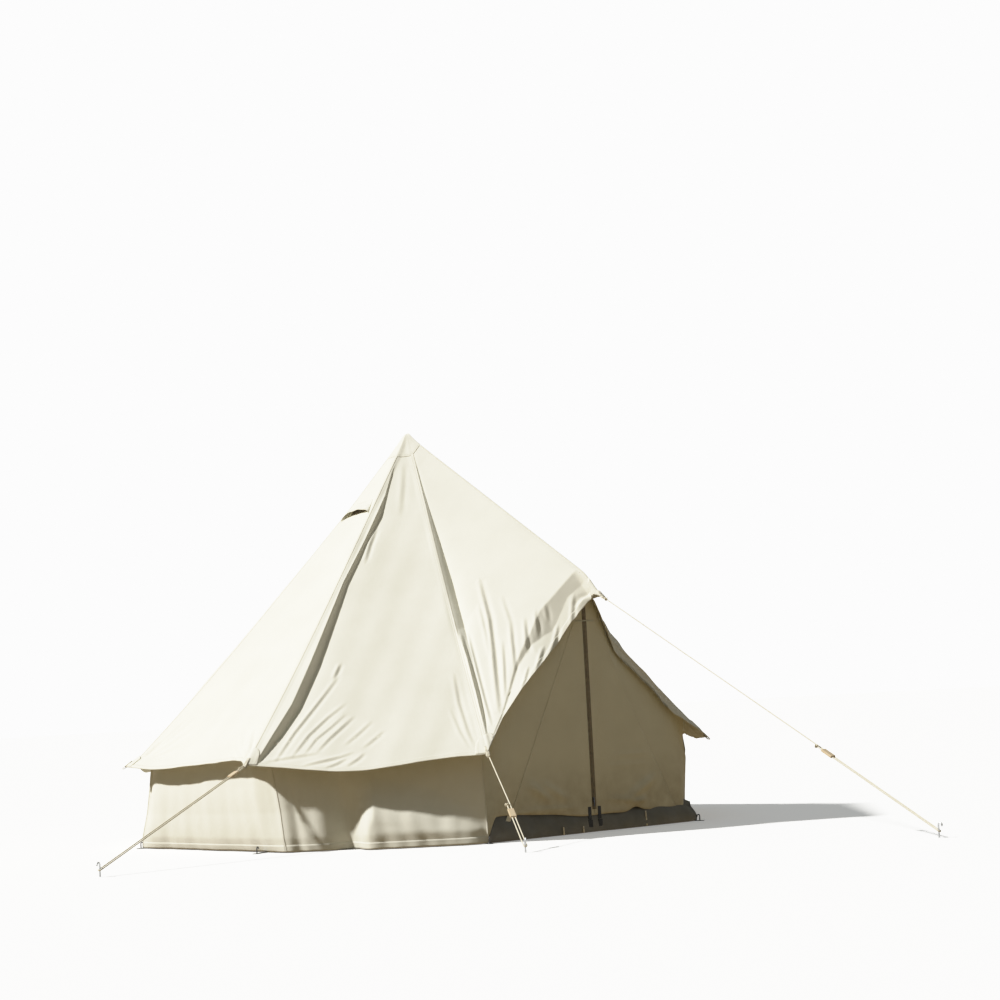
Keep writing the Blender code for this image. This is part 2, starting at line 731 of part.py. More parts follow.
def make_centre_pole():
    """Two pole sections on a foot, with the spike that carries the apex."""
    foot_bottom = SHEET_THICKNESS + TOUCH_GAP
    foot_top = foot_bottom + POLE_FOOT_HEIGHT
    turned("centre_pole_foot", [(0, foot_top), (POLE_RADIUS, foot_top),
                                (POLE_FOOT_RADIUS, foot_bottom), (0, foot_bottom)], "rubber")
    socket = SPIGOT_RADIUS + SPIGOT_CLEARANCE
    low = foot_top + TOUCH_GAP
    socket_floor = POLE_JOINT_HEIGHT - SPIGOT_LENGTH - SPIGOT_CLEARANCE
    turned("centre_pole_lower", [(0, socket_floor), (socket, socket_floor),
                                 (socket, POLE_JOINT_HEIGHT), (POLE_RADIUS, POLE_JOINT_HEIGHT),
                                 (POLE_RADIUS, low), (0, low)], "steel")
    seat = POLE_JOINT_HEIGHT + TOUCH_GAP
    turned("centre_pole_upper", [(0, POLE_TOP_HEIGHT), (POLE_RADIUS, POLE_TOP_HEIGHT),
                                 (POLE_RADIUS, seat), (SPIGOT_RADIUS, seat),
                                 (SPIGOT_RADIUS, seat - SPIGOT_LENGTH), (0, seat - SPIGOT_LENGTH)],
           "steel")
    cap_inside = APEX_HEIGHT + ROOF_VERTICAL - CANVAS + TOUCH_GAP
    spike_top = cap_inside - ROOF_SLOPE * SPIKE_RADIUS - TOUCH_GAP
    spike_low = POLE_TOP_HEIGHT + TOUCH_GAP
    turned("centre_pole_spike", [(0, spike_top), (SPIKE_RADIUS, spike_top),
                                 (SPIKE_RADIUS, spike_low), (0, spike_low)], "steel", 16)


def porch_pole_y():
    """The porch poles stand just inside the rim."""
    return -(rim_corner_radius(RIM_HEIGHT) - SHEET_THICKNESS / math.cos(DOOR_CORNER)) \
        * math.cos(DOOR_CORNER) + PORCH_FOOT_RADIUS + 2 * TOUCH_GAP


def make_porch_pole(side):
    """Slanting pole between its foot and the elbow, with level ends."""
    name, sign = side
    foot_bottom = SHEET_THICKNESS + TOUCH_GAP
    foot_top = foot_bottom + PORCH_FOOT_HEIGHT
    y = porch_pole_y()
    foot_x = leg_distance(foot_top)
    low, high = foot_top + TOUCH_GAP, PORCH_PEAK_HEIGHT - ELBOW_DROP - TOUCH_GAP
    data = bmesh.new()
    count = 16
    rings = []
    for height in (low, high):
        centre = Vector((sign * leg_distance(height), y, height))
        ring = []
        for index in range(count):
            turn = 2 * math.pi * index / count
            offset = Vector((math.cos(turn), math.sin(turn), 0)) * PORCH_POLE_RADIUS
            ring.append(data.verts.new(centre + offset))
        rings.append(ring)
    for index in range(count):
        after = (index + 1) % count
        data.faces.new((rings[0][index], rings[0][after], rings[1][after], rings[1][index]))
    data.faces.new(rings[0])
    data.faces.new(rings[1])
    add_mesh("porch_pole_" + name, data, "steel", flat=False)
    foot = bmesh.new()
    bmesh.ops.create_cone(foot, cap_ends=True, segments=16, radius1=PORCH_FOOT_RADIUS,
                          radius2=PORCH_FOOT_TOP_RADIUS, depth=PORCH_FOOT_HEIGHT)
    centre = Vector((sign * foot_x, y, (foot_bottom + foot_top) / 2))
    bmesh.ops.translate(foot, verts=foot.verts, vec=centre)
    add_mesh("porch_foot_" + name, foot, "rubber", centre, flat=False)


def make_elbow():
    """Bent bracket that joins the two porch poles under the ridge."""
    low = PORCH_PEAK_HEIGHT - ELBOW_DROP
    half = PORCH_POLE_RADIUS + ELBOW_WALL
    reach = leg_distance(low)
    climb = PORCH_PEAK_HEIGHT / PORCH_FOOT_HALF_SPREAD
    outline = [(reach - half, low), (reach + half, low), (half * 0.5, low + (reach + half * 0.5) * climb),
               (-half * 0.5, low + (reach + half * 0.5) * climb), (-reach - half, low),
               (-reach + half, low), (0, low + (reach - half) * climb)]
    data = bmesh.new()
    depth = 2 * half
    face = data.faces.new([data.verts.new((x, porch_pole_y() - half, z)) for x, z in outline])
    grown = bmesh.ops.extrude_face_region(data, geom=[face])
    verts = [item for item in grown["geom"] if isinstance(item, bmesh.types.BMVert)]
    bmesh.ops.translate(data, verts=verts, vec=(0, depth, 0))
    return add_mesh("porch_pole_elbow", data, "steel")


# Vent hoods

def make_vent(panel, side):
    """Hood raised off the roof over a patch of insect mesh."""
    width = (panel.first - panel.last).length
    length = (panel.end(0.5) - APEX).length
    grids = ([], [])
    for step in range(VENT_ROWS + 1):
        up = step / VENT_ROWS
        share = VENT_PLACE - VENT_LENGTH * up / length
        half = VENT_HALF_WIDTH * (1 - (1 - VENT_TOP_SHARE) * up) / (width * share)
        low_line, high_line = [], []
        for place in range(VENT_COLUMNS + 1):
            w = -1 + 2 * place / VENT_COLUMNS
            base = panel.point(0.5 + half * w, share)
            lift = VENT_LIFT * math.sqrt(max(0.0, 1 - w * w)) * (1 - smooth_step(up)) + HOOD_GAP
            low_line.append(base + Vector((0, 0, lift)))
            high_line.append(base + Vector((0, 0, lift + ROOF_VERTICAL)))
        grids[0].append(high_line)
        grids[1].append(low_line)
    closed_shell("vent_hood_" + side, grids[0], grids[1], "canvas")
    make_vent_mesh(panel, side, width, length)


def make_vent_mesh(panel, side, width, length):
    """Patch of insect mesh that lies on the roof under the hood."""
    grids = ([], [])
    for step in (0.0, 0.5, 1.0):
        share = VENT_PLACE - (VENT_MESH_INSET + VENT_MESH_LENGTH * step) / length
        half = VENT_MESH_HALF_WIDTH / (width * share)
        low_line, high_line = [], []
        for place in (-1.0, -0.5, 0.0, 0.5, 1.0):
            base = panel.point(0.5 + half * place, share)
            low_line.append(base + Vector((0, 0, HOOD_GAP)))
            high_line.append(base + Vector((0, 0, HOOD_GAP + VENT_MESH_THICKNESS)))
        grids[0].append(high_line)
        grids[1].append(low_line)
    closed_shell("vent_mesh_" + side, grids[0], grids[1], "mesh")


# Guys

class Guy:
    """One guy rope: from its eye to the peg, round it and back to the runner."""

    def __init__(self, name, eye, azimuth, peg_distance_out, runner_run):
        self.name = name
        self.eye = eye
        self.outward = around(1, azimuth, 0)
        self.aside = Vector((-self.outward.y, self.outward.x, 0))
        self.peg = around(peg_distance_out, azimuth, 0)
        turn_centre = self.peg + Vector((0, 0, GUY_TURN_HEIGHT))
        self.line = (turn_centre - eye).normalized()
        self.turn_centre = turn_centre
        self.runner = eye + self.line * runner_run

    def route(self):
        """Points of the rope from the eye to its knotted end."""
        level = math.hypot(self.line.x, self.line.y)
        side = self.aside * ROPE_TURN
        end = self.runner - self.line * (RUNNER_LENGTH / 2 + ROPE_TAIL)
        clear = ROOF_VERTICAL / 2 * abs(self.line.z) + TOUCH_GAP
        points = [self.eye + self.line * clear]
        points += sample(points[0], self.runner - self.line * RUNNER_LENGTH + side, 10)[1:]
        points += sample(points[-1], self.turn_centre + side, 12)[1:]
        for step in range(1, 8):
            turn = math.pi * step / 8
            points.append(self.turn_centre + side * math.cos(turn)
                          + self.line * ROPE_TURN / level * math.sin(turn))
        points += sample(self.turn_centre - side, end - side, 12)
        return points

    def build(self):
        tube("guy_rope_" + self.name, self.route(), ROPE_RADIUS, "rope", 2, self.eye)
        hooked_peg("guy_peg_" + self.name, self.peg, self.outward, GUY_PEG_RADIUS, GUY_PEG_HEIGHT)
        self.build_runner()

    def build_runner(self):
        """Flat slider with a hole for each strand."""
        normal = self.line.cross(self.aside).normalized()
        turn = Matrix((self.aside, normal, self.line)).transposed()
        size = (RUNNER_WIDTH, RUNNER_THICKNESS, RUNNER_LENGTH)
        item = box("guy_runner_" + self.name, size, self.runner, "runner", turn, bevel=RUNNER_EDGE)
        for sign in (-1, 1):
            place = Matrix.Translation(self.runner + self.aside * ROPE_TURN * sign) @ turn.to_4x4()
            hole = hole_cutter("runner_hole_%s_%d" % (self.name, sign),
                               ROPE_RADIUS + RUNNER_HOLE_CLEARANCE, 2 * RUNNER_LENGTH, place, 12)
            boolean(item, hole, "DIFFERENCE")


def sample(start, end, count):
    """Evenly spaced points from start to end."""
    return [start.lerp(end, index / (count - 1)) for index in range(count)]


def make_guys():
    """The three guys that the photograph shows."""
    hip_low = Vector((0, 0, ROOF_VERTICAL / 2))
    door_eye = around(EAVE_RADIUS, -DOOR_CORNER, EAVE_HEIGHT) - hip_low
    side_angle = -DOOR_CORNER - PANEL_ANGLE
    side_eye = around(EAVE_RADIUS, side_angle, EAVE_HEIGHT) - hip_low
    ridge_eye = RIDGE_LINE_END - Vector((0, 0, VISOR_DROOP)) - hip_low
    Guy("door_corner", door_eye, -DOOR_CORNER, EAVE_RADIUS + DOOR_GUY_REACH, DOOR_GUY_RUNNER_RUN).build()
    Guy("side_corner", side_eye, side_angle, EAVE_RADIUS + SIDE_GUY_REACH, SIDE_GUY_RUNNER_RUN).build()
    Guy("ridge", ridge_eye, 0.0, VISOR_RADIUS + RIDGE_GUY_REACH, RIDGE_GUY_RUNNER_RUN).build()


# The whole tent

def build_tent():
    panels = roof_panels()
    angles = corner_azimuths()
    for panel, name, first, last in zip(panels, WALL_NAMES, angles, angles[1:]):
        panel.build()
        make_wall(name, panel, first, last)
        if name in ("left", "right"):
            make_vent(panel, name)
    for side in SIDES:
        porch_panel(side).build()
        make_door_side(side)
        make_leaf(side)
        make_zip(side)
        make_strap(side)
        make_rim_loop(side)
        make_porch_pole(side)
    make_apex_cap()
    make_elbow()
    make_slider()
    make_centre_pole()
    make_groundsheet()
    make_ground_pegs()
    make_guys()


clear_scene()
PARTS = new_collection(COLLECTION)
CUTTER_GROUP = new_collection(CUTTERS)
MATERIALS = {
    "canvas": make_material("canvas", (0.84, 0.79, 0.66), 0.9),
    "groundsheet": make_material("groundsheet", (0.22, 0.22, 0.20), 0.55),
    "webbing": make_material("webbing", (0.02, 0.02, 0.02), 0.7),
    "zip_tape": make_material("zip_tape", (0.18, 0.14, 0.09), 0.7),
    "steel": make_material("steel", (0.55, 0.56, 0.57), 0.35, 1.0),
    "rubber": make_material("rubber", (0.03, 0.03, 0.03), 0.8),
    "rope": make_material("rope", (0.80, 0.74, 0.58), 0.85),
    "runner": make_material("runner", (0.62, 0.45, 0.26), 0.6),
    "mesh": make_material("mesh", (0.05, 0.045, 0.04), 0.8),
}
build_tent()
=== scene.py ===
"""Looks of a canvas bell tent: folded canvas, door, tray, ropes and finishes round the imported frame."""
import math
import random
from dataclasses import dataclass

import bmesh
import bpy
import numpy as np
from mathutils import Matrix, Vector


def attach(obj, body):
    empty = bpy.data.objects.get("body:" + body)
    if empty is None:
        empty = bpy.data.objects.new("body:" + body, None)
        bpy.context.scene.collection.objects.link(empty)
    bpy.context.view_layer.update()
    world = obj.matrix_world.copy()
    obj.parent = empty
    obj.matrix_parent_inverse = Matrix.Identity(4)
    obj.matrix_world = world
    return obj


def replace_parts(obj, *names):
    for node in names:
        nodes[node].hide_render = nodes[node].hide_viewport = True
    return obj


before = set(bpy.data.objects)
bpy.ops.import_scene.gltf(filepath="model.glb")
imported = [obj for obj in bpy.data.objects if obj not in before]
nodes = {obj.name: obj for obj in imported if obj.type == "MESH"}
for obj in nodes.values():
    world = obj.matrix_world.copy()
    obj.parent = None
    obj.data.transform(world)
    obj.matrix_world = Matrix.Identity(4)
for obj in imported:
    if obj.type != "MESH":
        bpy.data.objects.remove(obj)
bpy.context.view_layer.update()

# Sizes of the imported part, in metres
APEX_HEIGHT = 2.01
EAVE_RADIUS = 1.50
EAVE_HEIGHT = 0.40
DOOR_WIDTH_AT_EAVES = 1.40
EAVE_PANELS = 7
APEX_OPENING_RADIUS = 0.045
HIP_SAG = 0.030
HEM_DROOP = 0.027
RIDGE_END_HEIGHT = 1.22
RIDGE_PAST_DOOR = 0.003
VISOR_LENGTH = 0.14
VISOR_DROOP = 0.047
CAP_RADIUS = 0.115
WALL_TOP_RADIUS = 1.385
FLOOR_RADIUS = 1.41
WALL_BOTTOM = 0.0042
DOOR_CANVAS_EASE = 0.36
PORCH_PEAK_HEIGHT = 1.185
PORCH_FOOT_INSET = 0.038
SLEEVE_WIDTH = 0.036
LEAF_BOTTOM = 0.100
LEAF_TOP = 0.985
RIM_HEIGHT = 0.13
ROPE_RADIUS = 0.0027

# Cloth
ROOF_CLOTH = 0.0015
WALL_CLOTH = 0.0012
TRAY_CLOTH = 0.0016
TRIM_CLOTH = 0.0010
CLEAR = 0.0006

# What follows from the sizes
DOOR_CORNER = math.asin(0.5 * DOOR_WIDTH_AT_EAVES / EAVE_RADIUS)
PANEL_ANGLE = (2 * math.pi - 2 * DOOR_CORNER) / EAVE_PANELS
DOOR_PLANE = FLOOR_RADIUS * math.cos(DOOR_CORNER)
DOOR_HALF_WIDTH = FLOOR_RADIUS * math.sin(DOOR_CORNER)
PORCH_FOOT_HALF_SPREAD = DOOR_HALF_WIDTH - PORCH_FOOT_INSET
RIDGE_END_RADIUS = DOOR_PLANE + RIDGE_PAST_DOOR
VISOR_RADIUS = RIDGE_END_RADIUS + VISOR_LENGTH
RIDGE_SLOPE = (APEX_HEIGHT - RIDGE_END_HEIGHT) / RIDGE_END_RADIUS
WALL_SHARE = WALL_TOP_RADIUS / EAVE_RADIUS
OPENING_SHARE = APEX_OPENING_RADIUS / EAVE_RADIUS
APEX = np.array([0.0, 0.0, APEX_HEIGHT])
RIDGE_LINE_END = np.array([0.0, -VISOR_RADIUS, APEX_HEIGHT - RIDGE_SLOPE * VISOR_RADIUS])


def around(radius, azimuth, height):
    """Point at a radius and an azimuth, which is counted from the door towards +X."""
    return np.array([radius * math.sin(azimuth), -radius * math.cos(azimuth), height])


def smooth(value):
    """0 below 0, 1 above 1 and a smooth rise between."""
    value = np.clip(value, 0.0, 1.0)
    return value * value * (3 - 2 * value)


def corner_azimuth(index):
    """Azimuth of an eave corner: 0 is the door's right one, and the last is its left one."""
    return DOOR_CORNER + index * PANEL_ANGLE


def door_line(u):
    """Distance in front of the pole of the line where the door's canvas meets the porch roof."""
    at_wall = WALL_TOP_RADIUS * math.cos(DOOR_CORNER)
    return at_wall + (DOOR_PLANE - at_wall) * smooth(u / DOOR_CANVAS_EASE)


# Folds of the roof canvas

# Share of a fold's drop that lies below the panel's own plane
UNDER_SHARE = 0.35
# Least distance from a hip to its fold's ridge, and the distance over which that ridge gets its full height
LEAST_RIDGE = 0.0015
RIDGE_GROWTH = 0.02
# Share down the hip at which a fold starts, and the shares over which it grows and ends
FOLD_START = 0.09
FOLD_GROWTH = 0.05
FOLD_END = 0.03


@dataclass
class HipFold:
    """Cloth that runs on past a hip to a ridge, drops down a flank and comes back to the panel.

    At places down the hip it gives the distance to the middle of the dark flank with its shadow, and their
    width. Then follow the drop for each metre of width, the flank's share of the width, how late the flank
    steepens, and the distance over which the fold fades.
    """

    places: tuple
    middles: tuple
    widths: tuple
    drop: float
    flank: float
    late: float
    fade: float

    def lift(self, distance, share, size):
        """Height that the fold adds at a distance from the hip and a share down it."""
        middle = np.interp(share, self.places, self.middles) * size
        width = np.interp(share, self.places, self.widths) * size
        drop = self.drop * width
        there = smooth((share - FOLD_START) / FOLD_GROWTH) * smooth((1.0 - share) / FOLD_END)
        ridge = np.clip(middle - width / 2, LEAST_RIDGE, None)
        top = drop * (1 - UNDER_SHARE) * smooth(ridge / RIDGE_GROWTH)
        down = np.clip((distance - ridge) / (width * self.flank), 0, 1)
        down = (1 - self.late) * down + self.late * down ** 2
        past = (drop - top) * np.exp(-np.clip(distance - ridge - width * self.flank, 0, None) / self.fade)
        height = np.where(distance < ridge, top * distance / ridge, top - (top + past) * down)
        return height * there


HIP_FOLD = HipFold((0.12, 0.20, 0.262, 0.34, 0.466, 0.588, 0.708, 0.828, 0.91, 0.976),
                   (0.017, 0.042, 0.0563, 0.050, 0.0441, 0.0658, 0.0883, 0.0997, 0.0802, 0.0567),
                   (0.006, 0.012, 0.029, 0.020, 0.025, 0.037, 0.048, 0.048, 0.040, 0.020),
                   0.75, 0.6, 0.0, 0.05)
PORCH_HIP_FOLD = HipFold((0.12, 0.188, 0.27, 0.362, 0.502, 0.634, 0.728, 0.838, 0.946),
                         (0.008, 0.0090, 0.011, 0.0138, 0.0190, 0.0225, 0.0325, 0.0270, 0.0170),
                         (0.004, 0.008, 0.016, 0.026, 0.036, 0.036, 0.020, 0.014, 0.010),
                         0.90, 1.0, 0.6, 0.05)


# Rise for each metre of run below which a crease counts as level, and the share of its length at each tip
NEARLY_LEVEL = 0.2
CREASE_TIP = 0.02


@dataclass
class Crease:
    """Small ridge and valley side by side along a path of shares across and down a panel."""

    path: list
    height: float
    width: float
    fade: float = 0.5

    def lift(self, panel, x, y):
        """Height that the crease adds at flat places on the panel; it peaks one width from the path."""
        points = np.array([panel.flat(u, q) for u, q in self.path])
        steps = np.diff(points, axis=0)
        lengths = np.hypot(steps[:, 0], steps[:, 1])
        starts = np.concatenate(([0.0], np.cumsum(lengths)))
        run_x, run_y = points[-1] - points[0]
        facing = np.sign(run_y) if abs(run_y) > NEARLY_LEVEL * abs(run_x) else -np.sign(run_x)
        nearest = np.full(x.shape, np.inf)
        side = np.zeros(x.shape)
        along = np.zeros(x.shape)
        for (px, py), (sx, sy), length, start in zip(points, steps, lengths, starts):
            t = ((x - px) * sx + (y - py) * sy) / length ** 2
            held = np.clip(t, 0, 1)
            dx, dy = x - px - held * sx, y - py - held * sy
            gap = np.hypot(dx, dy)
            turn = np.sign(dx * sy - dy * sx) * facing
            closer = gap < nearest
            nearest = np.where(closer, gap, nearest)
            side = np.where(closer, turn, side)
            along = np.where(closer, (start + held * length) / starts[-1], along)
        reach = nearest / self.width
        ends = np.sin(np.pi * np.clip(along, CREASE_TIP, 1 - CREASE_TIP)) ** self.fade
        beyond = np.where((along <= 0) | (along >= 1), np.exp(-reach ** 2), 1.0)
        return -side * self.height * reach * np.exp(0.5 - 0.5 * reach ** 2) * ends * beyond

# Creases beside the door's left guy corner and the next corner, as the canvas pulls towards them
FRONT_CREASES = [
    Crease([(0.120, 0.985), (0.148, 0.906), (0.232, 0.791), (0.275, 0.740)], 0.0038, 0.009),
    Crease([(0.185, 0.975), (0.223, 0.914), (0.283, 0.866), (0.355, 0.826)], 0.0036, 0.008),
    Crease([(0.234, 0.970), (0.262, 0.928), (0.319, 0.892), (0.368, 0.857)], 0.0032, 0.007),
    Crease([(0.286, 0.965), (0.322, 0.930), (0.379, 0.888), (0.410, 0.866)], 0.0038, 0.008),
    Crease([(0.400, 0.949), (0.461, 0.910), (0.500, 0.884)], 0.0027, 0.008),
    Crease([(0.482, 0.960), (0.525, 0.936), (0.562, 0.913)], 0.0025, 0.008),
    Crease([(0.075, 0.988), (0.191, 0.978), (0.299, 0.970)], 0.0027, 0.009),
    Crease([(0.244, 1.006), (0.322, 0.995), (0.394, 0.984), (0.440, 0.973)], 0.0038, 0.008),
    Crease([(0.338, 1.015), (0.380, 1.005), (0.420, 0.987)], 0.0032, 0.008),
    Crease([(0.427, 1.012), (0.468, 0.992), (0.489, 0.976)], 0.0032, 0.008),
    Crease([(0.930, 0.760), (0.926, 0.842), (0.939, 0.927), (0.952, 0.972)], 0.0027, 0.009),
    Crease([(0.880, 0.860), (0.905, 0.930), (0.930, 0.975)], 0.0016, 0.008),
    Crease([(0.205, 0.300), (0.190, 0.350), (0.200, 0.400)], 0.0037, 0.010),
    Crease([(0.262, 0.705), (0.256, 0.726), (0.250, 0.748)], 0.0040, 0.009),
    Crease([(0.520, 0.100), (0.560, 0.170), (0.560, 0.260)], 0.0021, 0.014),
]
PORCH_CREASES = [
    Crease([(0.050, 0.660), (0.047, 0.750), (0.042, 0.842), (0.032, 0.930)], 0.0078, 0.008, 0.4),
    Crease([(0.108, 0.670), (0.088, 0.790), (0.078, 0.870), (0.074, 0.945)], 0.0057, 0.008),
    Crease([(0.400, 0.590), (0.328, 0.710), (0.257, 0.791), (0.201, 0.861), (0.148, 0.940)], 0.0078, 0.011),
    Crease([(0.345, 0.800), (0.280, 0.862), (0.215, 0.925)], 0.0036, 0.008),
    Crease([(0.450, 0.785), (0.386, 0.852), (0.330, 0.905)], 0.0050, 0.009, 1.0),
    Crease([(0.560, 0.815), (0.500, 0.865), (0.450, 0.900)], 0.0052, 0.009, 1.0),
    Crease([(0.643, 0.835), (0.600, 0.868), (0.560, 0.895)], 0.0042, 0.009, 1.0),
    Crease([(0.715, 0.850), (0.690, 0.872), (0.660, 0.892)], 0.0030, 0.009, 1.0),
    Crease([(0.300, 0.640), (0.262, 0.720), (0.220, 0.790)], 0.0034, 0.009),
    Crease([(0.500, 0.700), (0.460, 0.780), (0.420, 0.830)], 0.0023, 0.009),
    Crease([(0.420, 0.930), (0.375, 0.948), (0.325, 0.962)], 0.0036, 0.007),
    Crease([(0.560, 0.925), (0.505, 0.945), (0.450, 0.960)], 0.0049, 0.008),
    Crease([(0.700, 0.918), (0.630, 0.940), (0.560, 0.960)], 0.0049, 0.008),
    Crease([(0.985, 0.962), (0.900, 0.938), (0.830, 0.932)], 0.0029, 0.009),
    Crease([(0.880, 0.915), (0.820, 0.935), (0.755, 0.960)], 0.0037, 0.009),
]


# Creases that fan out from a corner: their number, reach across, inner end, height and width
FAN_COUNT = 7
FAN_REACH = (0.10, 0.42)
FAN_INNER = (0.22, 0.4)
FAN_HEIGHT = (0.0025, 0.0055)
FAN_WIDTH = (0.008, 0.012)
# Share down the panel where they meet, their rise for each share of reach, and how much they bend
FAN_MEET = 0.992
FAN_RISE = 0.62
FAN_BEND = 0.006


def corner_fan(chance, from_last):
    """Creases that fan out from one lower corner of a panel."""
    found = []
    for index in range(FAN_COUNT):
        reach = chance.uniform(*FAN_REACH)
        angle = (index + chance.uniform(0.2, 0.8)) / FAN_COUNT
        across = reach * (1 - 0.75 * angle) + 0.02
        rise = reach * FAN_RISE * angle ** 0.8
        near = chance.uniform(*FAN_INNER)
        path = [(across * part, FAN_MEET - rise * part + FAN_BEND * math.sin(3 * part))
                for part in (near, 0.65, 1.0)]
        if from_last:
            path = [(1 - u, q) for u, q in path]
        found.append(Crease(path, chance.uniform(*FAN_HEIGHT), chance.uniform(*FAN_WIDTH)))
    return found


# Depth of a panel's belly, and the distance from a seam over which its loose forms grow
BELLY = 0.012
SEAM_HOLD = 0.03
# Shares down the porch panels at which their hem lies, by places across
HEM_PLACES = (0.0, 0.05, 0.15, 0.45, 0.55, 0.65, 0.75, 0.85, 0.92, 0.97, 1.0)
HEM_SHARES = (0.998, 0.983, 0.963, 0.960, 0.954, 0.944, 0.947, 0.953, 0.957, 0.966, 0.997)
RIGHT_HEM_SHARES = (1.0, 0.998, 0.994, 0.985, 0.982, 0.975, 0.963, 0.948, 0.942, 0.972, 0.998)
# Where the hanging porch cloth turns past the door's line, the way it falls, the length of its bend, and the
# shares across over which it starts at the eave corner and ends at the ridge
HANG_MARGIN = 0.003
HANG_FALL = np.array([0.20, -0.30, -0.95])
HANG_BEND = 0.03
HANG_FIRST, HANG_START, HANG_END = 0.02, 0.20, 0.40


class Panel:
    """One roof panel between two seams that start at the apex; shares run across it and down it."""

    def __init__(self, name, first, last, columns, porch=False):
        self.name = name
        self.first = first
        self.last = last
        self.columns = columns
        self.porch = porch
        edge = last - first
        self.width = np.linalg.norm(edge)
        self.along = edge / self.width
        middle = first - APEX
        self.down = middle - self.along * middle.dot(self.along)
        self.slant = np.linalg.norm(self.down)
        self.down = self.down / self.slant
        self.normal = np.cross(self.down, self.along)
        self.flipped = self.normal[2] < 0
        if self.flipped:
            self.normal = -self.normal
        self.first_reach = np.linalg.norm(np.cross(edge, middle)) / np.linalg.norm(middle)
        self.last_reach = np.linalg.norm(np.cross(edge, last - APEX)) / np.linalg.norm(last - APEX)
        self.folds = []
        self.creases = []
        self.waves = []
        self.hem_form = even_hem
        self.corner_sags = (0.0, 0.0)
        self.slack = 0.0
        self.hanging = False

    def flat(self, u, q):
        """Place in metres on the panel's own plane, from the apex."""
        return ((self.first - APEX).dot(self.along) + self.width * u) * q, self.slant * q

    def shares_first(self, other):
        """Whether it is its first seam that the panel shares with another one."""
        return np.allclose(self.first, other.last) or np.allclose(self.first, other.first)

    def beside_seam(self, other, distance, q):
        """Shares across the panel at distances from the seam that it shares with another one."""
        first = self.shares_first(other)
        share = distance / (q * (self.first_reach if first else self.last_reach))
        return share if first else 1 - share

    def hem_share(self, u):
        """Share down the panel at which the hem lies."""
        if self.porch:
            return np.interp(u, HEM_PLACES, RIGHT_HEM_SHARES if self.hanging else HEM_SHARES)
        return 1 + self.hem_form(u)

    def door_share(self, u):
        """Share down the panel at which the door's canvas meets it."""
        ends = self.first[1] + (self.last[1] - self.first[1]) * u
        return door_line(u) / -ends

    def taut(self, u, q):
        """Canvas without folds: straight lines from the apex to the eave, with their sag."""
        end = self.first + (self.last - self.first) * u[..., None]
        place = APEX + (end - APEX) * q[..., None]
        sag = HIP_SAG * np.sin(np.pi * q ** 1.5)
        drawn = smooth(q / 0.25) * smooth((1 - q) / 0.06)
        sag = sag + drawn * (self.corner_sags[0] * (1 - u) + self.corner_sags[1] * u)
        if self.porch:
            past = (q * VISOR_RADIUS - RIDGE_END_RADIUS) / VISOR_LENGTH
            sag = sag * (1 - u) + VISOR_DROOP * smooth(past) * u ** 3
        place[..., 2] -= sag
        return place

    def lift(self, u, q):
        """Height of belly, folds and creases above the taut canvas."""
        x, y = self.flat(u, q)
        from_first = u * q * self.first_reach
        from_last = (1 - u) * q * self.last_reach
        inside = smooth(from_first / SEAM_HOLD) * smooth(from_last / SEAM_HOLD)
        loose = np.zeros(u.shape)
        for height, pitch_x, pitch_y, phase in self.waves:
            loose += height * np.sin(x / pitch_x + y / pitch_y + phase)
        for crease in self.creases:
            loose += crease.lift(self, x, y)
        loose -= BELLY * 4 * u * (1 - u) * smooth(q / 0.5)
        loose -= self.slack * smooth((q - 0.45) / 0.4) * np.sin(np.pi * u) ** 2
        total = loose * inside
        for at_last, course, size in self.folds:
            total += course.lift(from_last if at_last else from_first, q, size)
        if self.porch:
            total += porch_band(u, q, self.slant)
        return total

    def surface(self, u, q, above=0.0):
        """Points of the canvas at shares across and down, or a little above it."""
        u, q = np.broadcast_arrays(np.asarray(u, float), np.asarray(q, float))
        place = self.taut(u, q) + self.normal * (self.lift(u, q) + above)[..., None]
        if self.hanging:
            place = self.hang_down(place, u, q)
        return place

    def hang_down(self, place, u, q):
        """Cloth past the door's plane falls over the porch pole instead of standing out."""
        turn = self.door_share(u) + HANG_MARGIN
        past = np.clip(q - turn, 0, None) * self.slant
        held = np.minimum(q, turn)
        start = self.taut(u, held) + self.normal * self.lift(u, held)[..., None]
        down = start + past[..., None] * HANG_FALL
        share = smooth(past / HANG_BEND) * smooth((u - HANG_FIRST) / HANG_START) * smooth((1 - u) / HANG_END)
        return place * (1 - share)[..., None] + down * share[..., None]


def even_hem(u):
    """Eave hem that hangs lowest in its middle."""
    return HEM_DROOP * 4 * u * (1 - u)


def front_hem(u):
    """Eave hem that hangs lowest towards its first corner and runs straight to the door's corner."""
    return HEM_DROOP * np.sin(np.pi * np.clip(u / 0.9, 0, 1)) ** 1.9


def left_hem(u):
    """Eave hem that is nearly straight and lifts beside its last corner."""
    return 0.004 * np.sin(2 * np.pi * u) - 0.017 * u ** 2 * smooth((1 - u) / 0.07)


def right_hem(u):
    """Eave hem of the front right panel, nearly straight."""
    return 0.25 * front_hem(1 - u)


def back_left_hem(u):
    """Eave hem that hangs like the others at its first corner and is straight towards its last."""
    return even_hem(u) * (1 - smooth((u - 0.5) / 0.4))


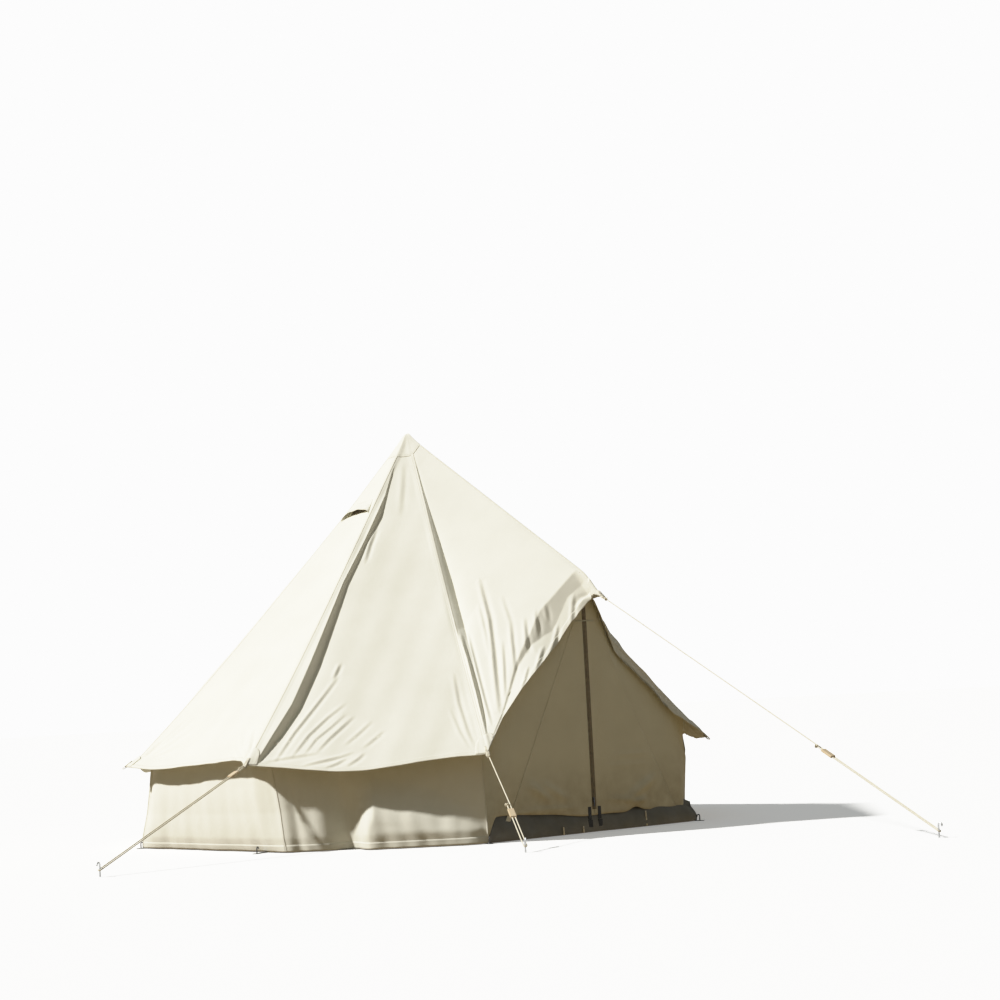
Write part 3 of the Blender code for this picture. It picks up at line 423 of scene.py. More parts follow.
# Hem of the porch: places across, the shares down where it turns and where that facet ends, and the slopes
# of the facet and of the strip below it
BAND_PLACES = (0.0, 0.142, 0.364, 0.50, 0.60, 0.66, 0.84, 0.93, 1.0)
BAND_TURNS = (0.985, 0.954, 0.884, 0.868, 0.856, 0.850, 0.868, 0.878, 0.886)
BAND_ENDS = (0.990, 0.961, 0.895, 0.888, 0.900, 0.910, 0.900, 0.915, 0.926)
BAND_SLOPES = (0.30, 0.50, 0.60, 0.54, 0.52, 0.52, 0.52, 0.50, 0.46)
STRIP_SLOPES = (0.0, -0.20, -0.12, 0.0, 0.12, 0.18, 0.20, 0.20, 0.16)


def porch_band(u, q, slant):
    """The porch's hem: the cloth turns down along a facet and then runs on as a flatter strip."""
    turn = np.interp(u, BAND_PLACES, BAND_TURNS)
    end = np.interp(u, BAND_PLACES, BAND_ENDS)
    facet = np.interp(u, BAND_PLACES, BAND_SLOPES) * np.clip(q - turn, 0, end - turn)
    strip = np.interp(u, BAND_PLACES, STRIP_SLOPES) * np.clip(q - end, 0, None)
    return -slant * (facet + strip) * smooth(u / 0.04) * smooth((1 - u) / 0.06)


# Folds of each panel: whether one lies beside the last hip, its form and its size
PANEL_FOLDS = {"front_left": [(False, HIP_FOLD, 1.0)], "front_right": [(True, HIP_FOLD, 0.85)],
               "back_left": [(True, HIP_FOLD, 0.5)], "right": [(False, HIP_FOLD, 0.55)],
               "back": [(False, HIP_FOLD, 0.6), (True, HIP_FOLD, 0.7)],
               "porch_left": [(False, PORCH_HIP_FOLD, 1.0)], "porch_right": [(False, PORCH_HIP_FOLD, 1.0)]}
PANEL_CREASES = {"front_left": FRONT_CREASES, "porch_left": PORCH_CREASES, "porch_right": PORCH_CREASES}
HEM_FORMS = {"front_left": front_hem, "front_right": right_hem, "left": left_hem, "back_left": back_left_hem}
# How much more one hip sags than the others, and how slack the right porch panel is
CORNER_SAG = 0.028
PORCH_SLACK = 0.028
# Waves all over the canvas: height and longest pitch; then the range of all phases
CANVAS_WAVES = ((0.0028, 0.16), (0.0016, 0.07), (0.0007, 0.03))
PHASES = 6.28
# Columns of the panels, finer where folds show
FINE_COLUMNS, PORCH_COLUMNS, MIDDLE_COLUMNS, PLAIN_COLUMNS = 200, 190, 90, 56


def make_panels():
    """Seven eave panels from the door's right corner round the back, then the two of the porch."""
    corners = [around(EAVE_RADIUS, corner_azimuth(index), EAVE_HEIGHT) for index in range(EAVE_PANELS + 1)]
    names = ("front_right", "right", "back_right", "back", "back_left", "left", "front_left")
    made = {}
    for index, name in enumerate(names):
        columns = FINE_COLUMNS if name == "front_left" else PLAIN_COLUMNS
        made[name] = Panel(name, corners[index], corners[index + 1], columns)
    made["porch_left"] = Panel("porch_left", corners[-1], RIDGE_LINE_END, PORCH_COLUMNS, porch=True)
    made["porch_right"] = Panel("porch_right", corners[0], RIDGE_LINE_END, MIDDLE_COLUMNS, porch=True)
    made["left"].corner_sags = (CORNER_SAG, 0.0)
    made["back_left"].corner_sags = (0.0, CORNER_SAG)
    made["porch_right"].slack = PORCH_SLACK
    made["porch_right"].hanging = True
    chance = random.Random(11)
    for name, panel in made.items():
        panel.folds = PANEL_FOLDS.get(name, [])
        panel.hem_form = HEM_FORMS.get(name, even_hem)
        panel.creases = PANEL_CREASES.get(name) or corner_fan(chance, False) + corner_fan(chance, True)
    for panel in made.values():
        for height, longest in CANVAS_WAVES:
            pitch = longest * chance.uniform(0.7, 1.2)
            panel.waves.append((height, pitch, pitch * chance.uniform(2.0, 5.0), chance.uniform(0, PHASES)))
    return made


def grid_of(columns, rows, closeness):
    """Shares across, close together near both edges, and shares down, closer near the lower end."""
    t = np.linspace(0, 1, columns + 1)
    across = t - closeness * np.sin(2 * math.pi * t) / (2 * math.pi)
    down = 1 - (1 - np.linspace(0, 1, rows + 1)) ** 1.2
    return across, down


# Building meshes

def patch(points, flats, flipped=False):
    """A grid of points with its places on the flat cloth, in the order that faces out."""
    if flipped:
        return points[:, ::-1], flats[:, ::-1]
    return points, flats


def flat_grid(points):
    """Flat places of a grid, measured along its middle row and column."""
    rows, columns = points.shape[:2]
    row = points[rows // 2]
    column = points[:, columns // 2]
    across = np.concatenate(([0], np.cumsum(np.linalg.norm(np.diff(row, axis=0), axis=1))))
    down = np.concatenate(([0], np.cumsum(np.linalg.norm(np.diff(column, axis=0), axis=1))))
    return np.stack(np.meshgrid(across, -down), -1)


def mesh_object(name, patches, look, body, thick=0.0, weld=0.00002, inward=-1.0):
    """Mesh of patches that share their edges, smooth, with a cloth map in metres and a thickness."""
    vertices, faces, flats = [], [], []
    start = 0
    for points, flat in patches:
        rows, columns = points.shape[:2]
        index = np.arange(rows * columns).reshape(rows, columns) + start
        quads = np.stack([index[:-1, :-1], index[1:, :-1], index[1:, 1:], index[:-1, 1:]], -1)
        vertices.append(points.reshape(-1, 3))
        flats.append(flat.reshape(-1, 2))
        faces.append(quads.reshape(-1, 4))
        start += rows * columns
    faces = np.concatenate(faces)
    mesh = bpy.data.meshes.new(name)
    mesh.from_pydata(np.concatenate(vertices).tolist(), [], faces.tolist())
    layer = mesh.uv_layers.new(name="cloth")
    layer.data.foreach_set("uv", np.concatenate(flats)[faces.reshape(-1)].astype(np.float32).reshape(-1))
    if weld:
        data = bmesh.new()
        data.from_mesh(mesh)
        bmesh.ops.remove_doubles(data, verts=data.verts, dist=weld)
        data.to_mesh(mesh)
        data.free()
    return add_object(name, mesh, look, body, thick, inward)


def new_object(name, data):
    """Object in the scene."""
    item = bpy.data.objects.new(name, data)
    bpy.context.scene.collection.objects.link(item)
    return item


def add_object(name, mesh, look, body, thick=0.0, inward=-1.0):
    """Link a mesh as a piece with its look, its thickness and the body that it rides on."""
    mesh.polygons.foreach_set("use_smooth", [True] * len(mesh.polygons))
    mesh.materials.append(look)
    item = new_object(name, mesh)
    if thick:
        shell = item.modifiers.new("thickness", "SOLIDIFY")
        shell.thickness = thick
        shell.offset = inward
    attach(item, body)
    return item


def trim(name, patches, look, thick, inward=-1.0):
    """Sewn strips in one piece that stays with the tent; their edges stay apart."""
    return mesh_object(name, patches, LOOKS[look], "tent", thick, weld=0, inward=inward)


X_AXIS, Z_AXIS = (1.0, 0.0, 0.0), (0.0, 0.0, 1.0)


def strip(line, side, width, flipped=False):
    """Patch along a line of points, with the unit vector across it."""
    line, side = np.asarray(line, float), np.asarray(side, float)
    across = np.linspace(-0.5, 0.5, 5) * width
    points = line[None, :, :] + side * across[:, None, None]
    return patch(points, flat_grid(points), flipped)


def unit(vector):
    """Vector of length one."""
    return vector / np.linalg.norm(vector)


def resample(path, step):
    """Points spaced evenly along a path."""
    path = np.asarray(path, float)
    lengths = np.linalg.norm(np.diff(path, axis=0), axis=1)
    places = np.concatenate(([0.0], np.cumsum(lengths)))
    count = max(2, int(round(places[-1] / step)) + 1)
    wanted = np.linspace(0, places[-1], count)
    return np.stack([np.interp(wanted, places, path[:, axis]) for axis in range(3)], -1), wanted


# A laid rope's radius between its strands and how far a strand stands out, as shares
LAY_LOW = 0.80
LAY_RISE = 0.24


def tube(path, radius, sides, lobes=0, lay=1.0, step=None, closed=False):
    """Grid of points round a path, plain or with the lobes of a laid rope, drawn in at its ends."""
    points, places = resample(path, step or radius)
    if closed:
        tangents = np.roll(points[:-1], -1, 0) - np.roll(points[:-1], 1, 0)
        tangents = np.concatenate([tangents, tangents[:1]])
    else:
        tangents = np.gradient(points, axis=0)
    tangents = tangents / np.linalg.norm(tangents, axis=1)[:, None]
    side = np.cross(tangents[0], (0.31, 0.17, 0.93))
    turns = np.linspace(0, 2 * math.pi, sides + 1)
    reach = np.full(turns.shape, radius)
    rings = []
    for place, point, tangent in zip(places, points, tangents):
        side = unit(side - tangent * side.dot(tangent))
        other = np.cross(tangent, side)
        if lobes:
            strand = np.abs(np.cos(lobes / 2 * (turns - 2 * math.pi * place / lay)))
            reach = radius * (LAY_LOW + LAY_RISE * strand)
        circle = np.cos(turns)[:, None] * side + np.sin(turns)[:, None] * other
        rings.append(point + reach[:, None] * circle)
    if not closed:
        rings.insert(0, np.repeat(points[:1], sides + 1, 0))
        rings.append(np.repeat(points[-1:], sides + 1, 0))
    along = np.linspace(0, places[-1], len(rings))
    return np.array(rings), np.stack(np.meshgrid(turns * radius, along), -1)


# Finishes

def new_material(name, colour, roughness, metallic=0.0, sheen=0.0):
    """A Principled material and the sockets that the finishes below build on."""
    item = bpy.data.materials.new(name)
    item.use_nodes = True
    tree = item.node_tree
    shader = tree.nodes["Principled BSDF"]
    shader.inputs["Base Color"].default_value = (*colour, 1)
    shader.inputs["Roughness"].default_value = roughness
    shader.inputs["Metallic"].default_value = metallic
    shader.inputs["Sheen Weight"].default_value = sheen
    return item, tree, shader


def node(tree, kind, **values):
    """Add a node, set what is called like one of its settings, and set or link its named inputs."""
    made = tree.nodes.new(kind)
    for key, value in values.items():
        if hasattr(made, key):
            setattr(made, key, value)
        elif isinstance(value, bpy.types.NodeSocket):
            tree.links.new(value, made.inputs[key.replace("_", " ")])
        else:
            made.inputs[key.replace("_", " ")].default_value = value
    return made


def ramp(tree, factor, stops):
    """Colour ramp with stops of (position, colour) on a factor socket."""
    made = tree.nodes.new("ShaderNodeValToRGB")
    while len(made.color_ramp.elements) < len(stops):
        made.color_ramp.elements.new(0.5)
    for element, (position, colour) in zip(made.color_ramp.elements, stops):
        element.position = position
        element.color = (*colour, 1)
    tree.links.new(factor, made.inputs["Fac"])
    return made.outputs["Color"]


def shade(colour, factor):
    """A colour made lighter or darker."""
    return tuple(min(1.0, part * factor) for part in colour)


def place_on(tree, kind="Object"):
    """Coordinates of the point that is shaded."""
    return tree.nodes.new("ShaderNodeTexCoord").outputs[kind]


def noise(tree, scale, detail):
    """Noise value on object coordinates."""
    return node(tree, "ShaderNodeTexNoise", Scale=scale, Detail=detail, Roughness=0.5,
                Vector=place_on(tree)).outputs["Fac"]


def vary(tree, shader, socket, scale, detail, low, high):
    """Let noise vary one of the shader's inputs between two stops of (position, colour)."""
    tree.links.new(ramp(tree, noise(tree, scale, detail), (low, high)), shader.inputs[socket])


def cloth_map(tree):
    """Coordinates in metres on the flat cloth."""
    return node(tree, "ShaderNodeUVMap", uv_map="cloth").outputs["UV"]


def combine(tree, operation, *values):
    """Arithmetic on values, each a socket or a number."""
    made = node(tree, "ShaderNodeMath", operation=operation)
    for socket, value in zip(made.inputs, values):
        if isinstance(value, (int, float)):
            socket.default_value = value
        else:
            tree.links.new(value, socket)
    return made.outputs[0]


# Turns a thread pitch in metres into the scale of a wave texture
WAVE_SCALE = 0.314


def weave(tree, pitch):
    """Height of a plain weave with the given thread pitch in metres."""
    threads = [node(tree, "ShaderNodeTexWave", wave_type="BANDS", bands_direction=direction,
                    Scale=WAVE_SCALE / pitch, Distortion=0.6, Detail=1.0, Detail_Scale=2.0,
                    Vector=cloth_map(tree)).outputs["Fac"] for direction in ("X", "Y")]
    return combine(tree, "MAXIMUM", *threads)


def bump(tree, shader, layers):
    """Chain of bumps from (height socket, strength, distance in metres)."""
    before = None
    for height, strength, distance in layers:
        made = node(tree, "ShaderNodeBump", Strength=strength, Distance=distance, Height=height)
        if before is not None:
            tree.links.new(before, made.inputs["Normal"])
        before = made.outputs["Normal"]
    tree.links.new(before, shader.inputs["Normal"])


# Colour of the darkening near the ground, and its usual reach: earth stains on the walls and tray, painted
# shade on the door's canvas
SOIL_AND_SHADE_COLOUR = (0.30, 0.25, 0.15, 1)
SOIL_REACH = 0.16


def soil_and_shade(tree, colour, amount, reach=SOIL_REACH):
    """Darkening that thins out above the ground: earth and grass stains on the walls and tray, painted shade
    on the door's canvas.
    """
    height = node(tree, "ShaderNodeSeparateXYZ", Vector=place_on(tree)).outputs["Z"]
    low = node(tree, "ShaderNodeMapRange", interpolation_type="SMOOTHSTEP", Value=height, From_Min=0.0,
               From_Max=reach, To_Min=amount, To_Max=0.0).outputs["Result"]
    patchy = combine(tree, "MULTIPLY", low, noise(tree, 16.0, 5.0))
    return node(tree, "ShaderNodeMix", data_type="RGBA", Factor=patchy, A=colour,
                B=SOIL_AND_SHADE_COLOUR).outputs["Result"]


def canvas_look(name, colour, soil_and_shade_amount=0.0, reach=SOIL_REACH):
    """Cotton canvas: plain weave, slubs, small crumples and a faint uneven tone."""
    item, tree, shader = new_material(name, colour, 0.85, sheen=0.15)
    tone = ramp(tree, noise(tree, 5.0, 4.0), [(0.30, shade(colour, 0.955)), (0.72, shade(colour, 1.03))])
    slub = ramp(tree, noise(tree, 900.0, 2.0), [(0.25, (0.93, 0.92, 0.90)), (0.75, (1.0, 1.0, 1.0))])
    result = node(tree, "ShaderNodeMix", data_type="RGBA", blend_type="MULTIPLY", Factor=1.0, A=tone,
                  B=slub).outputs["Result"]
    # Darker towards the ground: earth stains on the walls, painted shade on the door's canvas
    if soil_and_shade_amount:
        result = soil_and_shade(tree, result, soil_and_shade_amount, reach)
    tree.links.new(result, shader.inputs["Base Color"])
    bump(tree, shader, [(noise(tree, 22.0, 3.0), 0.35, 0.0020), (noise(tree, 75.0, 2.0), 0.3, 0.0006),
                        (weave(tree, 0.0011), 0.35, 0.00025)])
    return item


# Stitches: their pitch, the share of it that is thread, half their width, and how they stand out
STITCH_PITCH = 0.0045
STITCH_SHARE = 0.62
STITCH_HALF_WIDTH = 0.0008
STITCH_HEIGHT = 0.0006


def stitched_look(name, colour, rows, thread, soil_and_shade_amount=0.0):
    """Canvas strip with rows of stitches along it, at the given distances from its upper edge."""
    item = canvas_look(name, colour, soil_and_shade_amount)
    tree = item.node_tree
    shader = tree.nodes["Principled BSDF"]
    place = node(tree, "ShaderNodeSeparateXYZ", Vector=cloth_map(tree))
    stitch = combine(tree, "FRACT", combine(tree, "DIVIDE", place.outputs["X"], STITCH_PITCH))
    marks = None
    for row in rows:
        gap = combine(tree, "ABSOLUTE", combine(tree, "ADD", place.outputs["Y"], row))
        line = combine(tree, "LESS_THAN", gap, STITCH_HALF_WIDTH)
        marks = line if marks is None else combine(tree, "MAXIMUM", marks, line)
    marks = combine(tree, "MULTIPLY", marks, combine(tree, "LESS_THAN", stitch, STITCH_SHARE))
    tone, relief = (shader.inputs[socket].links[0].from_socket for socket in ("Base Color", "Normal"))
    mix = node(tree, "ShaderNodeMix", data_type="RGBA", Factor=marks, A=tone, B=(*thread, 1))
    tree.links.new(mix.outputs["Result"], shader.inputs["Base Color"])
    raised = node(tree, "ShaderNodeBump", Strength=0.6, Distance=STITCH_HEIGHT, Height=marks,
                  Normal=relief)
    tree.links.new(raised.outputs["Normal"], shader.inputs["Normal"])
    return item


def coated_look(name, colour):
    """Heavy coated sheet: faint scrim under a smooth coat, with scuffs and dust."""
    item, tree, shader = new_material(name, colour, 0.5)
    tone = ramp(tree, noise(tree, 9.0, 5.0), [(0.3, shade(colour, 0.8)), (0.7, shade(colour, 1.25))])
    tree.links.new(soil_and_shade(tree, tone, 0.5), shader.inputs["Base Color"])
    vary(tree, shader, "Roughness", 30.0, 5.0, (0.35, (0.38,) * 3), (0.7, (0.62,) * 3))
    bump(tree, shader, [(noise(tree, 14.0, 3.0), 0.5, 0.003), (weave(tree, 0.0016), 0.2, 0.0002)])
    return item


def webbing_look(name, colour):
    """Woven webbing with ribs across its length."""
    item, tree, shader = new_material(name, colour, 0.7, sheen=0.2)
    vary(tree, shader, "Base Color", 60.0, 3.0, (0.3, shade(colour, 0.7)), (0.7, shade(colour, 1.4)))
    bump(tree, shader, [(weave(tree, 0.0018), 0.8, 0.0005)])
    return item


def metal_look(name, colour, roughness):
    """Galvanised or moulded metal with drawn marks and a little dirt."""
    item, tree, shader = new_material(name, colour, roughness, metallic=1.0)
    vary(tree, shader, "Base Color", 40.0, 5.0, (0.3, shade(colour, 0.72)), (0.75, shade(colour, 1.1)))
    vary(tree, shader, "Roughness", 120.0, 4.0, (0.3, (roughness * 0.8,) * 3),
         (0.7, (min(1.0, roughness * 1.35),) * 3))
    bump(tree, shader, [(noise(tree, 260.0, 3.0), 0.15, 0.0003)])
    return item


def rubber_look(name):
    """Black rubber with a fine grain."""
    item, tree, shader = new_material(name, (0.03, 0.03, 0.032), 0.75)
    vary(tree, shader, "Base Color", 50.0, 4.0, (0.3, (0.02, 0.02, 0.02)), (0.75, (0.06, 0.055, 0.05)))
    bump(tree, shader, [(noise(tree, 900.0, 2.0), 0.3, 0.0002)])
    return item


def wood_look(name):
    """Oiled wood: long grain with darker year rings."""
    item, tree, shader = new_material(name, (0.62, 0.47, 0.28), 0.5)
    rings = node(tree, "ShaderNodeTexWave", wave_type="BANDS", bands_direction="Y", Scale=70.0,
                 Distortion=4.0, Detail=3.0, Vector=place_on(tree)).outputs["Fac"]
    tone = ramp(tree, rings, [(0.2, (0.72, 0.60, 0.42)), (0.8, (0.55, 0.42, 0.26))])
    tree.links.new(tone, shader.inputs["Base Color"])
    bump(tree, shader, [(rings, 0.2, 0.0003)])
    return item


def rope_look(name, colour):
    """Cotton rope fibres."""
    item, tree, shader = new_material(name, colour, 0.85, sheen=0.2)
    vary(tree, shader, "Base Color", 700.0, 3.0, (0.25, shade(colour, 0.72)), (0.7, shade(colour, 1.08)))
    bump(tree, shader, [(noise(tree, 1500.0, 2.0), 0.5, 0.0004)])
    return item


CREAM = (0.80, 0.785, 0.68)
THREAD = (0.62, 0.56, 0.42)
LOOKS = {
    "canvas": canvas_look("canvas", CREAM),
    "wall": canvas_look("wall_canvas", CREAM, 0.25),
    "seam": stitched_look("seam_canvas", shade(CREAM, 0.98), (0.003, 0.013), THREAD),
    "hem": stitched_look("hem_canvas", shade(CREAM, 0.98), (0.003, 0.021), THREAD),
    "wall_hem": stitched_look("wall_hem_canvas", shade(CREAM, 0.97), (0.003,), (0.70, 0.66, 0.54), 0.25),
    # Door canvas: the same cloth as CREAM, but tinted yellower and darkened strongly up to 0.42 m: painted
    # warm shade, as the door stands in shade
    "door": canvas_look("door_canvas_painted_shade", (0.78, 0.755, 0.605), 1.0, 0.42),
    "tray": coated_look("coated_sheet", (0.125, 0.133, 0.135)),
    "black": webbing_look("black_webbing", (0.018, 0.018, 0.018)),
    "pale": webbing_look("cotton_tape", (0.68, 0.63, 0.50)),
    "zip": webbing_look("zip_tape", (0.15, 0.115, 0.065)),
    "teeth": metal_look("zip_teeth", (0.17, 0.135, 0.08), 0.5),
    "steel": metal_look("galvanised_steel", (0.62, 0.63, 0.64), 0.42),
    "dark_steel": metal_look("dark_steel", (0.10, 0.10, 0.10), 0.5),
    "rubber": rubber_look("rubber"),
    "wood": wood_look("wood"),
    "rope": rope_look("cotton_rope", (0.80, 0.74, 0.58)),
    # Brown, not the net's own near-black: painted warm shade, so that the net reads as the shaded underside
    # of the vent hood
    "mesh": webbing_look("insect_mesh_painted_shade", (0.13, 0.095, 0.05)),
}


# Roof

PANELS = make_panels()
ROOF_ROWS = 240
EDGE_CLOSENESS = 0.4


def make_roof():
    """The whole roof canvas in one sheet, with a hem, and the sewn strips along its seams."""
    patches = []
    for panel in PANELS.values():
        across, down = grid_of(panel.columns, ROOF_ROWS, EDGE_CLOSENESS)
        hem = panel.hem_share(across)
        q = OPENING_SHARE + (hem - OPENING_SHARE)[None, :] * down[:, None]
        u = np.broadcast_to(across, q.shape)
        x, y = panel.flat(u, q)
        patches.append(patch(panel.surface(u, q), np.stack([x, -y], -1), panel.flipped))
    roof = mesh_object("roof_canvas", patches, LOOKS["canvas"], "tent", ROOF_CLOTH)
    hidden = [name for name in nodes if name.startswith(("roof_", "porch_roof_"))]
    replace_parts(roof, *hidden)
    strips = [make_hems(), make_seams()] + make_corner_loops()
    hip = np.linalg.norm(PANELS["back"].first - APEX)
    fan = math.asin(PANELS["back"].width / 2 / hip)
    area = EAVE_PANELS * 0.5 * hip ** 2 * math.sin(2 * fan)
    for name in ("porch_left", "porch_right"):
        panel = PANELS[name]
        area += 0.5 * np.linalg.norm(np.cross(panel.first - APEX, panel.last - APEX))


# Rows of the roof's hem above its edge, and how far it puffs out
HEM_WIDTH = 0.024
HEM_ROWS = np.array([HEM_WIDTH, 0.021, 0.0165, 0.012, 0.0075, 0.003, 0.0])
HEM_RISE = 0.0006
HEM_PUFF = 0.0007


def make_hems():
    """Turned and stitched hem on the outside of the roof's lower edge."""
    patches = []
    puff = HEM_RISE + HEM_PUFF * np.sin(np.pi * np.linspace(0, 1, len(HEM_ROWS))) ** 0.5
    for panel in PANELS.values():
        across, _ = grid_of(panel.columns, 1, EDGE_CLOSENESS)
        edge = panel.first + (panel.last - panel.first) * across[:, None]
        length = np.linalg.norm(edge - APEX, axis=1)
        q = panel.hem_share(across)[None, :] - HEM_ROWS[:, None] / length[None, :]
        u = np.broadcast_to(across, q.shape)
        points = panel.surface(u, q, puff[:, None] + np.zeros_like(u))
        x = np.broadcast_to(across * panel.width, q.shape)
        y = np.broadcast_to(HEM_ROWS[:, None] - HEM_WIDTH, q.shape)
        patches.append(patch(points, np.stack([x, y], -1), panel.flipped))
    return trim("roof_hem", patches, "hem", TRIM_CLOTH)


# Seam strips: where they end, as a share down, how far the cap covers them, half their width, the place
# along them that tells which way they face, and their rows from the middle out with the rise of each
SEAM_END = 0.997
SEAM_UNDER_CAP = 0.55
SEAM_HALF_WIDTH = 0.008
SEAM_FACING = 70
SEAM_ROWS = ((0.0, 0.0005), (0.003, 0.0005), (0.006, 0.0003), (SEAM_HALF_WIDTH, 0.0))
SEAM_CLOTH = 0.0003


def make_seams():
    """Flat sewn seams along the hips and the ridge."""
    order = list(PANELS.values())
    pairs = [(order[index], order[index + 1]) for index in range(EAVE_PANELS - 1)]
    pairs.append((PANELS["front_left"], PANELS["porch_left"]))
    pairs.append((PANELS["front_right"], PANELS["porch_right"]))
    pairs.append((PANELS["porch_left"], PANELS["porch_right"]))
    patches = []
    down = grid_of(1, ROOF_ROWS, EDGE_CLOSENESS)[1]
    covered = CAP_RADIUS / EAVE_RADIUS * SEAM_UNDER_CAP
    q = OPENING_SHARE + (SEAM_END - OPENING_SHARE) * down[down > covered]
    for first, second in pairs:
        near, far = seam_half(first, second, q), seam_half(second, first, q)
        points = np.concatenate([near[::-1], far[1:]], 0)
        points[len(near) - 1] = (near[0] + far[0]) / 2
        along = q * np.linalg.norm(first.last - APEX)
        places = np.linspace(-SEAM_HALF_WIDTH, SEAM_HALF_WIDTH, len(points))
        flats = np.stack(np.meshgrid(along, places - SEAM_HALF_WIDTH), -1)
        start = points[0, SEAM_FACING]
        facing = np.cross(points[-1, SEAM_FACING] - start, points[0, SEAM_FACING + 1] - start)
        patches.append(patch(points, flats, facing[2] > 0))
    return trim("roof_seams", patches, "seam", SEAM_CLOTH)


def seam_half(panel, other, q):
    """Half of a seam strip: rows from the shared line out onto one panel, raised a little."""
    return np.array([panel.surface(panel.beside_seam(other, distance, q), q, rise + np.zeros_like(q))
                     for distance, rise in SEAM_ROWS])


# How far the cap stands out round the pole's blunt tip, and at what radius
CAP_SHOULDER = 0.010
CAP_ROUND = 0.018
# Rows of the cap down to its turned edge, and the shares and rises of the edge's rows
CAP_ROWS = 12
CAP_BODY = 0.86
CAP_EDGE = np.array([0.9, 0.94, 0.97, 1.0])
CAP_RISE = 0.0016
CAP_EDGE_RISES = (0.0015, 0.0013, 0.0009, 0.0002)


def make_cap():
    """Reinforcing cone sewn over the apex, with its turned edge."""
    patches = []
    share = CAP_RADIUS / EAVE_RADIUS
    q = np.concatenate([np.linspace(0.0, share * CAP_BODY, CAP_ROWS), share * CAP_EDGE])
    rise = np.concatenate([np.full(CAP_ROWS, CAP_RISE), CAP_EDGE_RISES])
    for panel in PANELS.values():
        u, q_grid = np.meshgrid(np.linspace(0, 1, 13), q)
        points = panel.surface(u, q_grid)
        reach = q_grid * EAVE_RADIUS
        points[..., 2] += rise[:, None] + CAP_SHOULDER * reach / CAP_ROUND * np.exp(1 - reach / CAP_ROUND)
        x, _ = panel.flat(u, q_grid)
        patches.append(patch(points, np.stack([x, (q_grid - share) * panel.slant], -1), panel.flipped))
    cap = mesh_object("apex_cap_cloth", patches, LOOKS["seam"], "tent", TRIM_CLOTH)
    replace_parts(cap, "apex_cap")


# Walls

WALL_ROWS = 64
WALL_UNDER_ROOF = 0.0075
# How far the foot is lifted at the door's right corner, over what share across, and the corner's radii there
TUCK_HEIGHT = 0.095
TUCK_ACROSS = 0.14
TUCK_RISES = (0.0, 0.3, 0.8)
TUCK_RADII = (1.362, 1.372, 1.394)
# Shares of the wall's height, and the radius of its corners there
WALL_RISES = (0.0, 0.12, 0.35, 0.60, 0.78, 1.0)
WALL_RADII = (1.430, 1.428, 1.403, 1.386, 1.376, 1.385)
CORNER_SHIFT = math.radians(6.0)
LEFT_WALL_BELLY = 0.036
# Waves round the walls: height, pitch and the greatest lean; then the ripples of the foot and their reach up
WALL_WAVES = ((0.0045, 0.075, 0.5), (0.0030, 0.036, 1), (0.0014, 0.015, 2))
FOOT_RIPPLE = 0.0022
FOOT_PITCH = 0.021
FOOT_REACH = 0.22
CORNER_HOLD = 0.05


def wall_azimuth(index, rise):
    """Azimuth of a wall corner; one corner's fold runs aside towards the ground."""
    shift = CORNER_SHIFT if index == EAVE_PANELS - 1 else 0.0
    return corner_azimuth(index) + shift * (1 - rise) ** 0.75


def wall_radius(rise):
    """Radius of the wall's corners at a share of its height: a slight waist and a flared foot."""
    return np.interp(rise, WALL_RISES, WALL_RADII)


def wall_line(index, rise):
    """Corner of the wall at shares of its height, seen from above."""
    azimuth = wall_azimuth(index, rise)
    radius = wall_radius(rise)
    if index == 0:
        radius = np.minimum(radius, np.interp(rise, TUCK_RISES, TUCK_RADII))
    return np.stack([radius * np.sin(azimuth), -radius * np.cos(azimuth)], -1)


def wall_points(index, panel, u, rise, waves):
    """Points of one wall panel at shares across and up."""
    top = panel.surface(u, np.full_like(u, WALL_SHARE))[..., 2] - WALL_UNDER_ROOF
    foot = WALL_BOTTOM + (TUCK_HEIGHT * (1 - smooth(u / TUCK_ACROSS)) if index == 0 else 0.0)
    z = foot + (top - foot) * rise
    first, last = wall_line(index, rise), wall_line(index + 1, rise)
    edge = last[0, 0] - first[0, 0]
    width = np.linalg.norm(edge)
    x = u * width
    hang = np.zeros_like(u)
    for height, pitch, lean, phase in waves:
        hang += height * np.sin(x / pitch + lean * rise + phase)
    hang = hang * (0.35 + 0.65 * (1 - rise)) * smooth((1 - rise) / 0.25)
    hang += FOOT_RIPPLE * np.sin(x / FOOT_PITCH + 2.0 * np.sin(x / 0.11)) * (1 - smooth(rise / FOOT_REACH))
    if panel.name == "front_left":
        hang += front_wall_fold(u, rise)
    if panel.name == "left":
        hang += LEFT_WALL_BELLY * np.sin(np.pi * rise) ** 0.8 * smooth(u / 0.12) * smooth((1 - u) / 0.12)
    held = smooth(x / CORNER_HOLD) * smooth((width - x) / CORNER_HOLD)
    out = np.array([edge[1], -edge[0]]) / width
    place = first + (last - first) * u[..., None] + out * (hang * held)[..., None]
    return np.concatenate([place, z[..., None]], -1)


# Front wall, by shares across it: the height up to which its foot is pulled out, and how far
PULL_PLACES = (0.35, 0.40, 0.47, 0.56, 0.70, 0.85, 0.97, 1.0)
PULL_HEIGHTS = (0.14, 0.46, 0.64, 0.60, 0.54, 0.42, 0.24, 0.12)
PULL_DEPTH = 0.062
GROOVE_DEPTH = 0.008
HOLLOW_DEPTH = 0.058


def bell(value, middle, width):
    """One at the middle, falling off on both sides of it."""
    return np.exp(-((value - middle) / width) ** 2)


